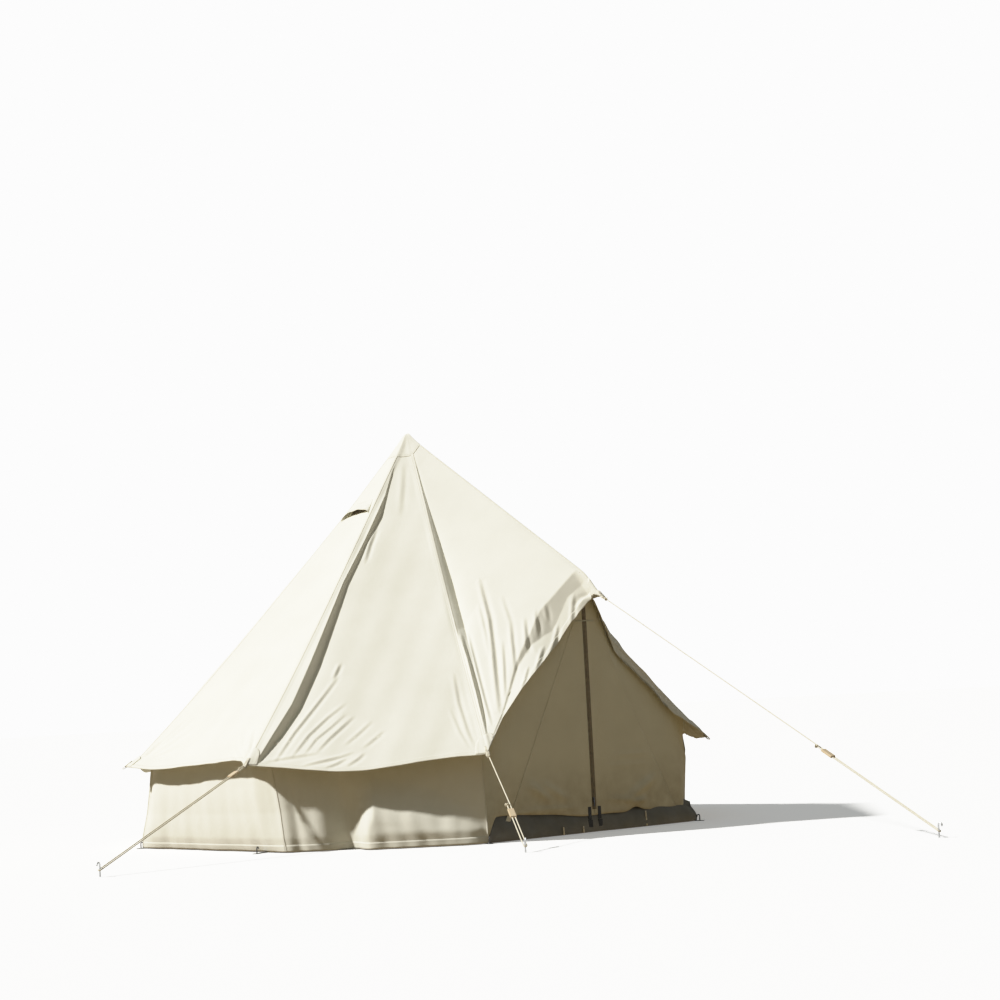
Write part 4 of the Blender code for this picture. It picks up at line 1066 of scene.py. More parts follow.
def front_wall_fold(u, rise):
    """The front wall hollows beside the left corner and its foot is pulled out towards the door."""
    groove = GROOVE_DEPTH * bell(u, 0.060 + 0.02 * (1 - rise), 0.026) * smooth((0.95 - rise) / 0.5)
    hollow = front_hollow(u) * smooth((0.8 - rise) / 0.5)
    lit = np.interp(u, PULL_PLACES, PULL_HEIGHTS)
    fading = 1 - 0.4 * smooth((u - 0.72) / 0.25)
    foot = PULL_DEPTH * smooth((lit + 0.02 - rise) / 0.42) * smooth((u - 0.34) / 0.10) * fading
    rim = 0.0025 * bell(rise, 0.17 - 0.04 * u, 0.035) * smooth((u - 0.4) / 0.15)
    low = 0.0020 * bell(rise, 0.05, 0.03) * smooth((u - 0.35) / 0.15)
    return foot + rim - groove - hollow - low


def front_hollow(u):
    """Depth of the hollow in the front wall's foot."""
    return HOLLOW_DEPTH * bell(u, 0.305, 0.065)


def make_walls():
    """The wall canvas in one sheet round the seven eave panels, with corner seams and a foot tape."""
    chance = random.Random(23)
    patches = []
    names = [name for name in PANELS if not name.startswith("porch")]
    for index, name in enumerate(names):
        waves = [(height, pitch, chance.uniform(-lean, lean), chance.uniform(0, PHASES))
                 for height, pitch, lean in WALL_WAVES]
        columns = 120 if name in ("front_left", "left") else 84
        u, rise = np.meshgrid(np.linspace(0, 1, columns + 1), np.linspace(1, 0, WALL_ROWS + 1))
        points = wall_points(index, PANELS[name], u, rise, waves)
        width = np.linalg.norm(points[0, -1] - points[0, 0])
        patches.append(patch(points, np.stack([u * width, points[..., 2]], -1)))
    walls = mesh_object("wall_canvas", patches, LOOKS["wall"], "tent", WALL_CLOTH)
    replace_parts(walls, *[name for name in nodes if name.startswith("wall_")])
    make_wall_trims(patches)


# Rises of the foot hem's rows from its upper edge down, and the rows and rise of the corner seams
FOOT_HEM_RISES = np.array([0.0, 0.0002, 0.0003, 0.0003, 0.0003])
WALL_SEAM_ROWS = np.array([0.0, 0.004, 0.008])
WALL_SEAM_RISE = 0.0004
# Row of the wall along which the width of a column is measured
MEASURED_ROW = 20


def make_wall_trims(patches):
    """Sewn seams at the wall's corners and a turned hem along its foot."""
    strips = []
    rows = len(FOOT_HEM_RISES)
    for points, flats in patches:
        raised = outward(points)[-rows:] * FOOT_HEM_RISES[:, None, None]
        strips.append((points[-rows:] + raised, flats[-rows:]))
    for points, _ in patches:
        strips.append(wall_seam(points, outward(points), True))
    last = patches[-1][0]
    strips.append(wall_seam(last[:, ::-1], outward(last)[:, ::-1], False))
    return trim("wall_trims", strips, "wall_hem", SEAM_CLOTH)


def wall_seam(points, out, flipped):
    """Strip down the first edge of a grid of wall points."""
    step = np.linalg.norm(points[MEASURED_ROW, 1] - points[MEASURED_ROW, 0])
    strip_rows = []
    for distance in WALL_SEAM_ROWS:
        share = distance / step
        low, part = int(share), share - int(share)
        row = points[:, low] * (1 - part) + points[:, low + 1] * part
        strip_rows.append(row + out[:, low] * WALL_SEAM_RISE)
    flats = np.stack(np.meshgrid(points[:, 0, 2], WALL_SEAM_ROWS - WALL_SEAM_ROWS[-1]), -1)
    return patch(np.array(strip_rows), flats, flipped)


def outward(points):
    """Unit vectors level and square to a wall panel."""
    edge = points[:, -1] - points[:, 0]
    out = np.stack([edge[:, 1], -edge[:, 0], 0 * edge[:, 0]], -1)
    out = out / np.linalg.norm(out, axis=1)[:, None]
    return np.broadcast_to(out[:, None, :], points.shape)


# Door

def leg_distance(height):
    """Distance of the porch pole's line from the door's middle."""
    return PORCH_FOOT_HALF_SPREAD * (1 - height / PORCH_PEAK_HEIGHT)


def hinge_distance(height):
    """Distance of a leaf's hinge line from the door's middle."""
    return leg_distance(height) - SLEEVE_WIDTH * math.hypot(1, PORCH_FOOT_HALF_SPREAD / PORCH_PEAK_HEIGHT)


def hinge_height(distance):
    """Height of a leaf's hinge line at a distance from the door's middle."""
    return PORCH_PEAK_HEIGHT * (hinge_distance(0.0) - distance) / PORCH_FOOT_HALF_SPREAD


# Soft folds of the door's canvas: both ends of each, its height and its half width
DOOR_FOLDS = (((-0.46, 0.28), (-0.24, 0.145), 0.013, 0.022), ((-0.34, 0.255), (-0.15, 0.150), 0.010, 0.018),
              ((0.19, 0.125), (0.44, 0.250), 0.016, 0.020), ((0.22, 0.112), (0.35, 0.135), 0.014, 0.012),
              ((0.06, 0.150), (0.36, 0.118), 0.008, 0.012), ((-0.50, 0.130), (-0.08, 0.120), 0.007, 0.010),
              ((0.10, 0.345), (0.45, 0.350), 0.0035, 0.008), ((0.04, 0.30), (0.40, 0.295), 0.0025, 0.008))
# Shallow waves of the door's canvas, and how it is held flat beside the zip and then freed
DOOR_WAVE = 0.0030
ZIP_HOLD = 0.045
ZIP_FREE = 0.05


def door_depth(x, z):
    """How far the door's canvas stands proud of its plane, as the cloth hangs."""
    depth = DOOR_WAVE * (1 + np.sin(x / 0.09 + 1.0) * np.sin(z / 0.31 + 0.4))
    for (x0, z0), (x1, z1), height, width in DOOR_FOLDS:
        along = ((x - x0) * (x1 - x0) + (z - z0) * (z1 - z0)) / ((x1 - x0) ** 2 + (z1 - z0) ** 2)
        away = ((z - z0) * (x1 - x0) - (x - x0) * (z1 - z0)) / math.hypot(x1 - x0, z1 - z0)
        depth = depth + height * bell(away, 0.0, width) * np.sin(np.pi * np.clip(along, 0, 1))
    return depth * smooth((np.abs(x) - ZIP_HOLD) / ZIP_FREE)


# Width of a door side's cut along its seam with the leaf
SEAM_GAP = 0.0004
# Left side's foot beside the wall's corner: where it starts to reach lower, over what width, and how far
CORNER_START = 0.60
CORNER_WIDTH = 0.055
CORNER_DROP = 0.085
# Width over which a side bends round to the wall's corner, and over which the folds fade at the seam
CORNER_BEND = 0.07
SEAM_FADE = 0.10
# Distance square to the hinge line for each metre measured level
SQUARE_TO_HINGE = 0.89


def door_side_points(side, sign):
    """Grid of points of a door side from its top down, and the area of its outline."""
    panel = PANELS["porch_" + side]
    u = np.concatenate([np.linspace(0, 0.9, 90), np.linspace(0.905, 1.0, 20)])
    end = panel.first + (panel.last - panel.first) * u[:, None]
    top = panel.surface(u, door_line(u) / -end[:, 1])
    top[:, 2] -= ROOF_CLOTH * 2.0 + CLEAR
    x = np.abs(top[:, 0])
    x[-1] = CLEAR / 2
    low = door_side_foot(x, side, sign)
    rise = np.linspace(1, 0, 56)[:, None]
    z = low[None, :] + (top[:, 2] - low)[None, :] * rise
    y = -DOOR_PLANE + (top[None, :, 1] + DOOR_PLANE) * rise ** 1.5
    edge = wall_line(EAVE_PANELS if side == "left" else 0, z[:, 0] / top[0, 2])
    near = 1 - smooth((x[0] - x) / CORNER_BEND)[None, :]
    y = y * (1 - near) + edge[:, 1, None] * near
    x_all = x + (np.abs(edge[:, 0, None]) - x[0]) * near
    from_seam = np.clip(x_all - hinge_distance(z), 0, None) * SQUARE_TO_HINGE
    y = y - door_depth(sign * x_all, z) * (1 - near) * smooth(from_seam / SEAM_FADE)
    height = top[:, 2] - low
    area = float(np.sum((height[:-1] + height[1:]) / 2 * -np.diff(x)))
    return np.stack([sign * x_all, y, z], -1), area


def door_side_foot(x, side, sign):
    """Heights of a door side's lower edge: down its seam with the leaf, then along its foot."""
    foot = leaf_low(sign * x) - CORNER_DROP * smooth((x - CORNER_START) / CORNER_WIDTH) * (side == "left")
    seam = hinge_height(x) + SEAM_GAP
    return np.maximum(np.minimum(seam, LEAF_TOP + SEAM_GAP), foot)


def make_door_side(side, sign):
    """Fixed canvas beside the door, from the wall's corner to the seam that the leaf hangs from."""
    points, area = door_side_points(side, sign)
    grid = patch(points, points[..., ::2], sign > 0)
    item = mesh_object("door_side_canvas_" + side, [grid], LOOKS["door"], "tent", WALL_CLOTH)
    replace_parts(item, "door_side_" + side)
    pieces = [make_sleeves(), make_peak_seam(points[2:, -1])] if side == "left" else []


# Zip: how far its teeth stop short of its ends, the size of a tooth, the pitch, the distances of a tooth
# from the zip's middle and of the tape's face from the door's plane, and each row's start in pitches
ZIP_END_INSET = 0.006
TOOTH = (0.0034, 0.0012, 0.0014)
TOOTH_PITCH = 0.0026
TOOTH_INSET = 0.0020
TAPE_FACE = 0.0019
FIRST_TOOTH = {"left": 0.75, "right": 0.25}
BOX_CORNERS = [(x, y, z) for x in (-0.5, 0.5) for y in (-0.5, 0.5) for z in (-0.5, 0.5)]
BOX_SIDES = ((0, 1, 3, 2), (4, 6, 7, 5), (0, 4, 5, 1), (2, 3, 7, 6), (0, 2, 6, 4), (1, 5, 7, 3))


def make_teeth(side, sign):
    """Row of zip teeth on the inner edge of a leaf's tape."""
    front = -DOOR_PLANE - TAPE_FACE - TOOTH[1] / 2
    vertices, faces = [], []
    for index in range(int((LEAF_TOP - LEAF_BOTTOM - 2 * ZIP_END_INSET) / TOOTH_PITCH)):
        height = LEAF_BOTTOM + ZIP_END_INSET + (index + FIRST_TOOTH[side]) * TOOTH_PITCH
        faces += [tuple(len(vertices) + corner for corner in face) for face in BOX_SIDES]
        vertices += [(sign * TOOTH_INSET + x * TOOTH[0], front + y * TOOTH[1], height + z * TOOTH[2])
                     for x, y, z in BOX_CORNERS]
    mesh = bpy.data.meshes.new("zip_teeth_" + side)
    mesh.from_pydata(vertices, [], faces)
    mesh.uv_layers.new(name="cloth")
    item = add_object("zip_teeth_" + side, mesh, LOOKS["teeth"], "door_leaf_" + side)
    item.data.polygons.foreach_set("use_smooth", [False] * len(faces))
    return item


# Sleeves, the flap over the leaves' top and the tape above it: widths, thickness, and how far they lie
# behind or before the canvas
SLEEVE_STRIP = 0.030
SLEEVE_FOOT = 0.03
SLEEVE_CLOTH = 0.0009
FLAP_WIDTH = 0.022
FLAP_REACH = 0.10
BEHIND_CANVAS = 0.0014
FLAP_BEHIND_SLEEVE = 0.0012
PEAK_TAPE_WIDTH = 0.024
PEAK_TAPE = 0.0006
BEFORE_CANVAS = 0.0009


def make_sleeves():
    """Pole sleeves sewn behind the seams that the leaves hang from, and the flap over the leaves' top."""
    y = -DOOR_PLANE + WALL_CLOTH + BEHIND_CANVAS
    strips = []
    for sign in (-1, 1):
        line = [(sign * hinge_distance(z), y, z) for z in np.linspace(SLEEVE_FOOT, LEAF_TOP + 0.02, 40)]
        strips.append(strip(line, X_AXIS, SLEEVE_STRIP))
    flap = [(x, y + FLAP_BEHIND_SLEEVE, LEAF_TOP) for x in np.linspace(-FLAP_REACH, FLAP_REACH, 12)]
    strips.append(strip(flap, Z_AXIS, FLAP_WIDTH, flipped=True))
    return trim("pole_sleeves", strips, "canvas", SLEEVE_CLOTH, inward=0.0)


def make_peak_seam(edge):
    """Dark tape that carries the zip's line on up to the porch's peak."""
    line = [(0.0, y - BEFORE_CANVAS, z) for _, y, z in edge]
    tape = strip(line, X_AXIS, PEAK_TAPE_WIDTH)
    return trim("door_peak_tape", [tape], "zip", PEAK_TAPE, inward=0.0)


# Lower edge of the leaves: how far it hangs below their bottom, how much it rises to the left, and the arch
# at the right with its middle and half width
LEAF_HANG = 0.022
LEAF_RISE = 0.036
ARCH_HEIGHT, ARCH_MIDDLE, ARCH_WIDTH = 0.022, 0.265, 0.045


def leaf_low(x):
    """Lower edge of a leaf: its hem dips and lifts a little."""
    arch = ARCH_HEIGHT * bell(x, ARCH_MIDDLE, ARCH_WIDTH)
    return LEAF_BOTTOM - LEAF_HANG + LEAF_RISE * smooth(-x / 0.5) + arch + 0.002 * np.sin(x / 0.05)


def make_leaf(side, sign):
    """Door leaf with its hem, on its own body."""
    rise = np.linspace(1, 0, 90)[:, None]
    across = np.linspace(0, 1, 60)[None, :]
    nominal = LEAF_BOTTOM + (LEAF_TOP - LEAF_BOTTOM) * rise
    z = nominal
    for _ in range(4):
        far = hinge_distance(z) - SEAM_GAP
        x = CLEAR + (far - CLEAR) * across
        z = nominal + (leaf_low(sign * x) - LEAF_BOTTOM) * (1 - rise) ** 3
    y = -DOOR_PLANE - door_depth(sign * x, z) * smooth((far - x) / SEAM_FADE)
    points = np.stack([sign * x, y, z], -1)
    grid = patch(points, points[..., ::2], sign > 0)
    item = mesh_object("door_leaf_canvas_" + side, [grid], LOOKS["door"], "door_leaf_" + side, WALL_CLOTH)
    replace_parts(item, "door_leaf_" + side)
    make_teeth(side, sign)


# Tray groundsheet

# Shares of the floor's rows from its middle out, and of the rim's rows from its foot up
FLOOR_ROWS = np.concatenate([np.linspace(0.02, 0.97, 26), np.linspace(0.98, 1.0, 4)])
RIM_ROWS = np.linspace(0.04, 1.0, 14)
# How far the sheet lies over the ground, how much farther up to its edge, and its ripples there
SHEET_LIFT = 0.0004
FLOOR_LIFT = 0.0013
FLOOR_RIPPLE = 0.0012
FLOOR_EDGE = 0.96
DOOR_COLUMNS, RIM_COLUMNS = 130, 60


def make_tray():
    """Coated sheet of the floor with its raised rim, which shows along the bottom of the door."""
    chance = random.Random(5)
    turns = [chance.uniform(0, PHASES) for _ in range(5)]
    rows = [(share, 0.0) for share in FLOOR_ROWS] + [(1.0, rise) for rise in RIM_ROWS]
    patches = []
    for index in range(EAVE_PANELS + 1):
        u = np.linspace(0, 1, (DOOR_COLUMNS if index == EAVE_PANELS else RIM_COLUMNS) + 1)
        points = np.array([tray_line(index, u, share, rise, turns) for share, rise in rows])
        patches.append(patch(points, flat_grid(points), True))
    tray = mesh_object("tray_sheet", patches, LOOKS["tray"], "tent", TRAY_CLOTH)
    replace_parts(tray, "groundsheet")
    make_tray_loops()


def tray_line(index, u, share, rise, turns):
    """Points of one side of the tray at a share out across the floor and a share up its rim."""
    first = corner_azimuth(index)
    last = corner_azimuth(0) + 2 * math.pi if index == EAVE_PANELS else corner_azimuth(index + 1)
    shift = [CORNER_SHIFT * share if place == EAVE_PANELS - 1 else 0.0 for place in (index, index + 1)]
    start = around(tray_radius(index, rise) * share, first + shift[0], 0.0)
    end = around(tray_radius(index + 1, rise) * share, last + shift[1], 0.0)
    line = start + (end - start) * u[:, None]
    out = unit(np.array([line[:, 0].mean(), line[:, 1].mean(), 0.0]))
    line[:, 2] = TRAY_CLOTH + SHEET_LIFT + rim_height(u, index) * rise
    if rise == 0 and share < FLOOR_EDGE:
        ripple = np.sin(line[:, 0] / 0.05 + turns[0]) * np.sin(line[:, 1] / 0.06 + turns[1])
        line[:, 2] += FLOOR_LIFT + FLOOR_RIPPLE * ripple
    if share == 1.0:
        line = line + out * rim_bulge(u, rise, index, turns)[:, None]
    return line


# Peg tabs: reaches of their points past the floor's corners, height and width; then their wire rings
TAB_REACHES = (-0.070, -0.030, 0.0, 0.028, 0.048)
TAB_HEIGHT = 0.002
TAB_WIDTH = 0.026
TAB_WEBBING = 0.0016
RING_REACH, RING_HEIGHT = 0.0275, 0.0035
RING_RADIUS, RING_WIRE = 0.0058, 0.0011
# Distances from the door's middle of the pale loops along the foot of its rim, and of their upper ends
LOOP_PLACES = ((-0.213, 0.040), (-0.089, 0.034), (0.318, 0.075), (0.554, 0.050))
# Width of these loops, how far they stand before the door's plane at the rim's top, and how they lean
COTTON_WIDTH = 0.008
COTTON_FRONT = 0.0065
COTTON_LEAN = 0.012
THIN_WEBBING = 0.0014


def make_tray_loops():
    """Peg tabs at the floor's corners with their rings, and the small cotton loops along the door's rim."""
    tabs, rings, loops = [], [], []
    for index in range(EAVE_PANELS + 1):
        azimuth = corner_azimuth(index)
        line = [around(FLOOR_RADIUS + reach, azimuth, TAB_HEIGHT) for reach in TAB_REACHES]
        tabs.append(strip(line, around(1.0, azimuth + math.pi / 2, 0.0), TAB_WIDTH))
        centre = around(FLOOR_RADIUS + RING_REACH, azimuth, RING_HEIGHT)
        circle = [centre + RING_RADIUS * np.array([math.cos(turn), math.sin(turn), 0.0])
                  for turn in np.linspace(0, 2 * math.pi, 25)]
        rings.append(tube(circle, RING_WIRE, 8, closed=True))
    for place, top in LOOP_PLACES:
        line = [(place + 0.004 * math.sin(9 * z + place),
                 -DOOR_PLANE - COTTON_FRONT - COTTON_LEAN * (1 - z / RIM_HEIGHT), z)
                for z in np.linspace(0.004, top, 8)]
        loops.append(strip(line, X_AXIS, COTTON_WIDTH))
    return [trim("tray_tabs", tabs, "black", TAB_WEBBING, inward=0.0),
            mesh_object("tray_rings", rings, LOOKS["steel"], "tent"),
            trim("tray_cotton_loops", loops, "pale", THIN_WEBBING, inward=0.0)]


# Corners of the tray: how far inside the floor's radius they start, and how they lean in up the rim; beside
# the door's right they stand out first
CORNER_INSET = 0.0055
CORNER_LEAN, DOOR_LEFT_LEAN = 0.022, 0.002
DOOR_RIGHT_INSET, DOOR_RIGHT_LEAN, DOOR_RIGHT_BULGE = 0.004, 0.010, 0.022


def tray_radius(index, rise):
    """Radius of the tray's corners: the rim leans in behind walls, and stands out at the door's right."""
    if index in (0, EAVE_PANELS + 1):
        bulge = DOOR_RIGHT_BULGE * math.sin(math.pi * min(1.0, rise + 0.25))
        return FLOOR_RADIUS - DOOR_RIGHT_INSET + bulge - DOOR_RIGHT_LEAN * rise
    return FLOOR_RADIUS - CORNER_INSET - (DOOR_LEFT_LEAN if index == EAVE_PANELS else CORNER_LEAN) * rise


def rim_height(u, index):
    """Height of the rim, which is pulled down at the door's right corner."""
    low = smooth(u / 0.10) if index == 0 else smooth((1 - u) / 0.07) if index == EAVE_PANELS else 1.0
    return RIM_HEIGHT * (0.72 + 0.28 * low)


# Rim under the walls: how far it is tucked in at the door's right, held back up its height, and its ripple
RIM_TUCK = 0.046
RIM_HELD = 0.006
RIM_RIPPLE = 0.0012
RIM_INSET = 0.0015


def rim_bulge(u, rise, index, turns):
    """How far the rim stands out from its straight line: slack folds, more along the door's foot."""
    if index < EAVE_PANELS:
        hollow = front_hollow(u) if index == EAVE_PANELS - 1 else 0.0
        tucked = RIM_TUCK * smooth(u / 0.07) * (1 - smooth((u - 0.4) / 0.5)) if index == 0 else 0.0
        held = RIM_HELD * rise * np.sin(np.pi * u) ** 0.5
        return RIM_RIPPLE * np.sin(u * 40 + turns[2]) * rise - RIM_INSET - held - hollow - tucked
    ends = smooth(u / 0.04) * smooth((1 - u) / 0.04)
    low = 0.011 * (1 - smooth(rise / 0.85)) + 0.004 * np.sin(rise * 3.0)
    slack = 0.0045 * np.sin(u * 17 + turns[3]) + 0.0028 * np.sin(u * 41 + turns[4] + 2 * rise)
    at_straps = 1 - 0.8 * np.exp(-((u - 0.5) / 0.06) ** 4)
    return (low + slack * np.sin(np.pi * np.clip(rise, 0, 0.8)) ** 0.7) * ends * at_straps - RIM_HELD * rise


# Guys

# Height at which a rope turns round its peg, the gap between them and the radius of that turn
GUY_TURN_HEIGHT = 0.030
ROPE_GAP = 0.0003
PEG_WIRE_RADIUS = 0.004
ROPE_TURN = PEG_WIRE_RADIUS + ROPE_RADIUS + ROPE_GAP
RUNNER_LENGTH = 0.062
ROPE_TAIL = 0.030
CANVAS_SOLID = 0.003
# Reach of each guy from its eye out to its peg, and from its eye along the rope to its runner
GUY_REACHES = {"door_corner": (0.61, 0.470), "side_corner": (1.02, 0.095), "ridge": (1.86, 1.50)}
# A rope's strands and the length of their lay, the points round it, and the steps of its path and its rings
ROPE_STRANDS = 3
ROPE_LAY = 0.016
ROPE_SIDES = 12
ROPE_STEP, ROPE_RING = 0.008, 0.0027
# Distances of a guy's knots from the rope's end and from its start
END_KNOT, EYE_KNOT = 0.004, 0.016


def make_guys():
    """Guys of the door's left corner, of the next corner and of the ridge."""
    slope = (APEX_HEIGHT - EAVE_HEIGHT) / (EAVE_RADIUS * math.cos(PANEL_ANGLE / 2))
    half = CANVAS_SOLID * math.sqrt(1 + slope ** 2) / 2
    low = np.array([0.0, 0.0, half])
    for name, azimuth in (("door_corner", -DOOR_CORNER), ("side_corner", -DOOR_CORNER - PANEL_ANGLE)):
        make_guy(name, around(EAVE_RADIUS, azimuth, EAVE_HEIGHT) - low, azimuth, EAVE_RADIUS, half)
    make_guy("ridge", RIDGE_LINE_END - np.array([0.0, 0.0, VISOR_DROOP]) - low, 0.0, VISOR_RADIUS, half)


def make_guy(name, eye, azimuth, radius, half):
    """Laid rope from its eye in the canvas round its peg and back through its runner, with its knots."""
    reach, run = GUY_REACHES[name]
    aside = around(1.0, azimuth, 0.0)
    aside = np.array([-aside[1], aside[0], 0.0]) * ROPE_TURN
    turn = around(radius + reach, azimuth, GUY_TURN_HEIGHT)
    line = unit(turn - eye)
    runner = eye + line * run
    start = eye + line * (half * abs(line[2]) + ROPE_GAP)
    end = runner - line * (RUNNER_LENGTH / 2 + ROPE_TAIL)
    level = math.hypot(line[0], line[1])
    path = [start, runner - line * RUNNER_LENGTH + aside, turn + aside]
    path += [turn + aside * math.cos(angle) + line * ROPE_TURN / level * math.sin(angle)
             for angle in np.linspace(0, math.pi, 9)[1:-1]]
    path += [turn - aside, end - aside]
    grid = tube(path, ROPE_RADIUS, ROPE_SIDES, ROPE_STRANDS, ROPE_LAY, ROPE_RING)
    rope = mesh_object("rope_" + name, [grid], LOOKS["rope"], "tent")
    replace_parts(rope, "guy_rope_" + name)
    knots = [make_knot("rope_knot_%s_end" % name, end - aside - line * END_KNOT, line),
             make_knot("rope_knot_%s_eye" % name, start + line * EYE_KNOT, line)]


# Knot: size of its turns and of the rope drawn tight in it, in rope radii, and its length in those turns
KNOT_TURNS = 0.95
KNOT_ROPE = 0.9
KNOT_LENGTH = 1.6


def make_knot(name, centre, line):
    """Overhand knot drawn tight round the rope."""
    side = unit(np.cross(line, Z_AXIS))
    other = np.cross(line, side)
    size = ROPE_RADIUS * KNOT_TURNS
    path = []
    for turn in np.linspace(0, 2 * math.pi, 73):
        reach = 2 + math.cos(3 * turn)
        path.append(centre + size * (reach * math.cos(2 * turn) * side + reach * math.sin(2 * turn) * other
                                     + KNOT_LENGTH * math.sin(3 * turn) * line))
    knot = mesh_object(name, [tube(path, ROPE_RADIUS * KNOT_ROPE, 10, closed=True)], LOOKS["rope"], "tent")
    return knot


# Panels that meet at each corner of the eave and at the ridge's end
CORNER_PAIRS = (("front_left", "porch_left"), ("front_right", "porch_right"), ("left", "front_left"),
                ("back_left", "left"), ("back", "back_left"), ("back_right", "back"),
                ("right", "back_right"), ("front_right", "right"), ("porch_left", "porch_right"))
# Half-round patches: half width, length, distances of their rows up from the corner, how much they lie
# inside the hem, how far they stand out and how much less at their edge
PATCH_HALF_WIDTH = 0.052
PATCH_LENGTH = 0.112
PATCH_ROWS = np.linspace(0.004, 0.11, 12)
PATCH_INSET = 0.002
PATCH_RISE = 0.0020
PATCH_EDGE = 0.0006
# Webbing loops: run past the corner and height of each point, and their width
LOOP_POINTS = ((-0.040, 0.0006), (-0.020, 0.0008), (0.002, 0.0010), (0.014, 0.0002), (0.019, -0.0030),
               (0.014, -0.0066), (0.002, -0.0074), (-0.020, -0.0070))
LOOP_WIDTH = 0.019


def make_corner_loops():
    """Reinforcing patches and webbing loops at the eave's corners and the ridge's end."""
    made = [corner_patch(PANELS[first], PANELS[second]) for first, second in CORNER_PAIRS]
    covers = [cover for cover, _ in made]
    loops = [corner_loop(middle) for _, middle in made]
    return [trim("corner_patches", covers, "seam", PATCH_EDGE),
            trim("corner_loops", loops, "pale", THIN_WEBBING, inward=0.0)]


def corner_patch(first, second):
    """Half-round patch over the corner that two panels share, and the points down its middle."""
    near, far = half_patch(first, second), half_patch(second, first)
    points = np.concatenate([near[::-1], far[1:]])
    centre = len(near) - 1
    points[centre] = (near[0] + far[0]) / 2
    places = np.linspace(-PATCH_HALF_WIDTH, PATCH_HALF_WIDTH, len(points))
    flats = np.stack(np.meshgrid(PATCH_ROWS, np.abs(places) - PATCH_HALF_WIDTH), -1)
    up = np.cross(points[-1, 5] - points[0, 5], points[centre, 6] - points[centre, 5])
    return patch(points, flats, up[2] > 0), points[centre].copy()


def half_patch(panel, other):
    """Half of a corner patch: rows from the shared seam out onto one panel."""
    end = panel.first if panel.shares_first(other) else panel.last
    q = 1 - PATCH_ROWS / np.linalg.norm(end - APEX)
    wide = PATCH_HALF_WIDTH * np.sqrt(np.clip(1 - (PATCH_ROWS / PATCH_LENGTH) ** 2, 0, 1)) + 0.001
    rows = []
    for share in np.linspace(0, 1, 9):
        u = panel.beside_seam(other, share * wide, q)
        held = np.minimum(q, panel.hem_share(u) - PATCH_INSET)
        rows.append(panel.surface(u, held, PATCH_RISE - PATCH_EDGE * (share == 1)))
    return np.array(rows)


def corner_loop(middle):
    """Webbing loop that reaches out past a corner and comes back below the canvas."""
    down = unit(middle[0] - middle[4])
    aside = unit(np.cross(down, Z_AXIS))
    up = np.cross(aside, down)
    if up[2] < 0:
        up = -up
    return strip([middle[0] + down * run + up * height for run, height in LOOP_POINTS], aside, LOOP_WIDTH)


# Vents

# Hood: shares down and across at its mouth, half width, length, lift and width of its top
VENT_PLACE = 0.255
VENT_CENTRE = 0.53
VENT_HALF_WIDTH = 0.120
VENT_LENGTH = 0.105
VENT_LIFT = 0.040
VENT_TOP_SHARE = 0.55
# Its rows from the mouth up, the share of them that is its hem, the hem's width, and its cloth's rises
VENT_ROWS = np.concatenate([[0, 0.03, 0.06], np.linspace(0.10, 1, 18)])
VENT_HEM_SHARE = 0.07
VENT_HEM = 0.013
VENT_RISE = 0.0012
VENT_HEM_RISE = 0.0015
VENT_RIPPLE = 0.0016
# Insect mesh below it
VENT_MESH_HALF_WIDTH = 0.061
VENT_MESH_LENGTH = 0.050
VENT_MESH_INSET = 0.034
VENT_MESH_RISE = 0.0006
VENT_MESH_CLOTH = 0.0004


def make_vents():
    """Raised cloth hood over a patch of insect mesh, high on the left and the right panel."""
    for side, centre in (("left", VENT_CENTRE), ("right", 1 - VENT_CENTRE)):
        hood = make_hood(side, PANELS[side], centre)
        mesh = make_net(side, PANELS[side], centre)


def make_hood(side, panel, centre):
    """Arched cloth, sewn down along its top and open at its mouth."""
    rise, w = np.meshgrid(VENT_ROWS, np.linspace(-1, 1, 49), indexing="ij")
    share = VENT_PLACE - VENT_LENGTH * rise / panel.slant
    half = VENT_HALF_WIDTH * (1 - (1 - VENT_TOP_SHARE) * rise) / (panel.width * share)
    lift = VENT_LIFT * np.sqrt(np.clip(1 - w ** 2, 0, 1)) * (1 - smooth(rise)) + VENT_RISE
    lift += VENT_RIPPLE * np.sin(w * 9 + 3 * rise) * (1 - rise) * (1 - w ** 2)
    points = panel.surface(centre + half * w, share)
    points[..., 2] += lift + VENT_HEM_RISE * (rise < VENT_HEM_SHARE)
    flats = np.stack([w * VENT_HALF_WIDTH, rise * VENT_LENGTH - VENT_HEM], -1)
    hood = mesh_object("vent_cloth_" + side, [patch(points, flats, True)], LOOKS["seam"], "tent", TRIM_CLOTH)
    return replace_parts(hood, "vent_hood_" + side)


def make_net(side, panel, centre):
    """Insect mesh sewn over the opening."""
    rise, w = np.meshgrid(np.linspace(0, 1, 12), np.linspace(-1, 1, 25), indexing="ij")
    share = VENT_PLACE - (VENT_MESH_INSET + VENT_MESH_LENGTH * rise) / panel.slant
    half = VENT_MESH_HALF_WIDTH / (panel.width * share)
    points = panel.surface(centre + half * w, share, VENT_MESH_RISE)
    flats = np.stack([w * VENT_MESH_HALF_WIDTH, rise * VENT_MESH_LENGTH], -1)
    mesh = mesh_object("vent_net_" + side, [patch(points, flats, True)], LOOKS["mesh"], "tent",
                       VENT_MESH_CLOTH)
    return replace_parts(mesh, "vent_mesh_" + side)


# Camera and light

CAMERA_AZIMUTH = math.radians(-38.968)
CAMERA_DISTANCE = 11.74
CAMERA_HEIGHT = 0.681
CAMERA_TURN = -0.0391
CAMERA_PITCH = 0.0821
CAMERA_ROLL = -0.0524
CAMERA_LENS = 82.88
SENSOR_WIDTH = 36.0


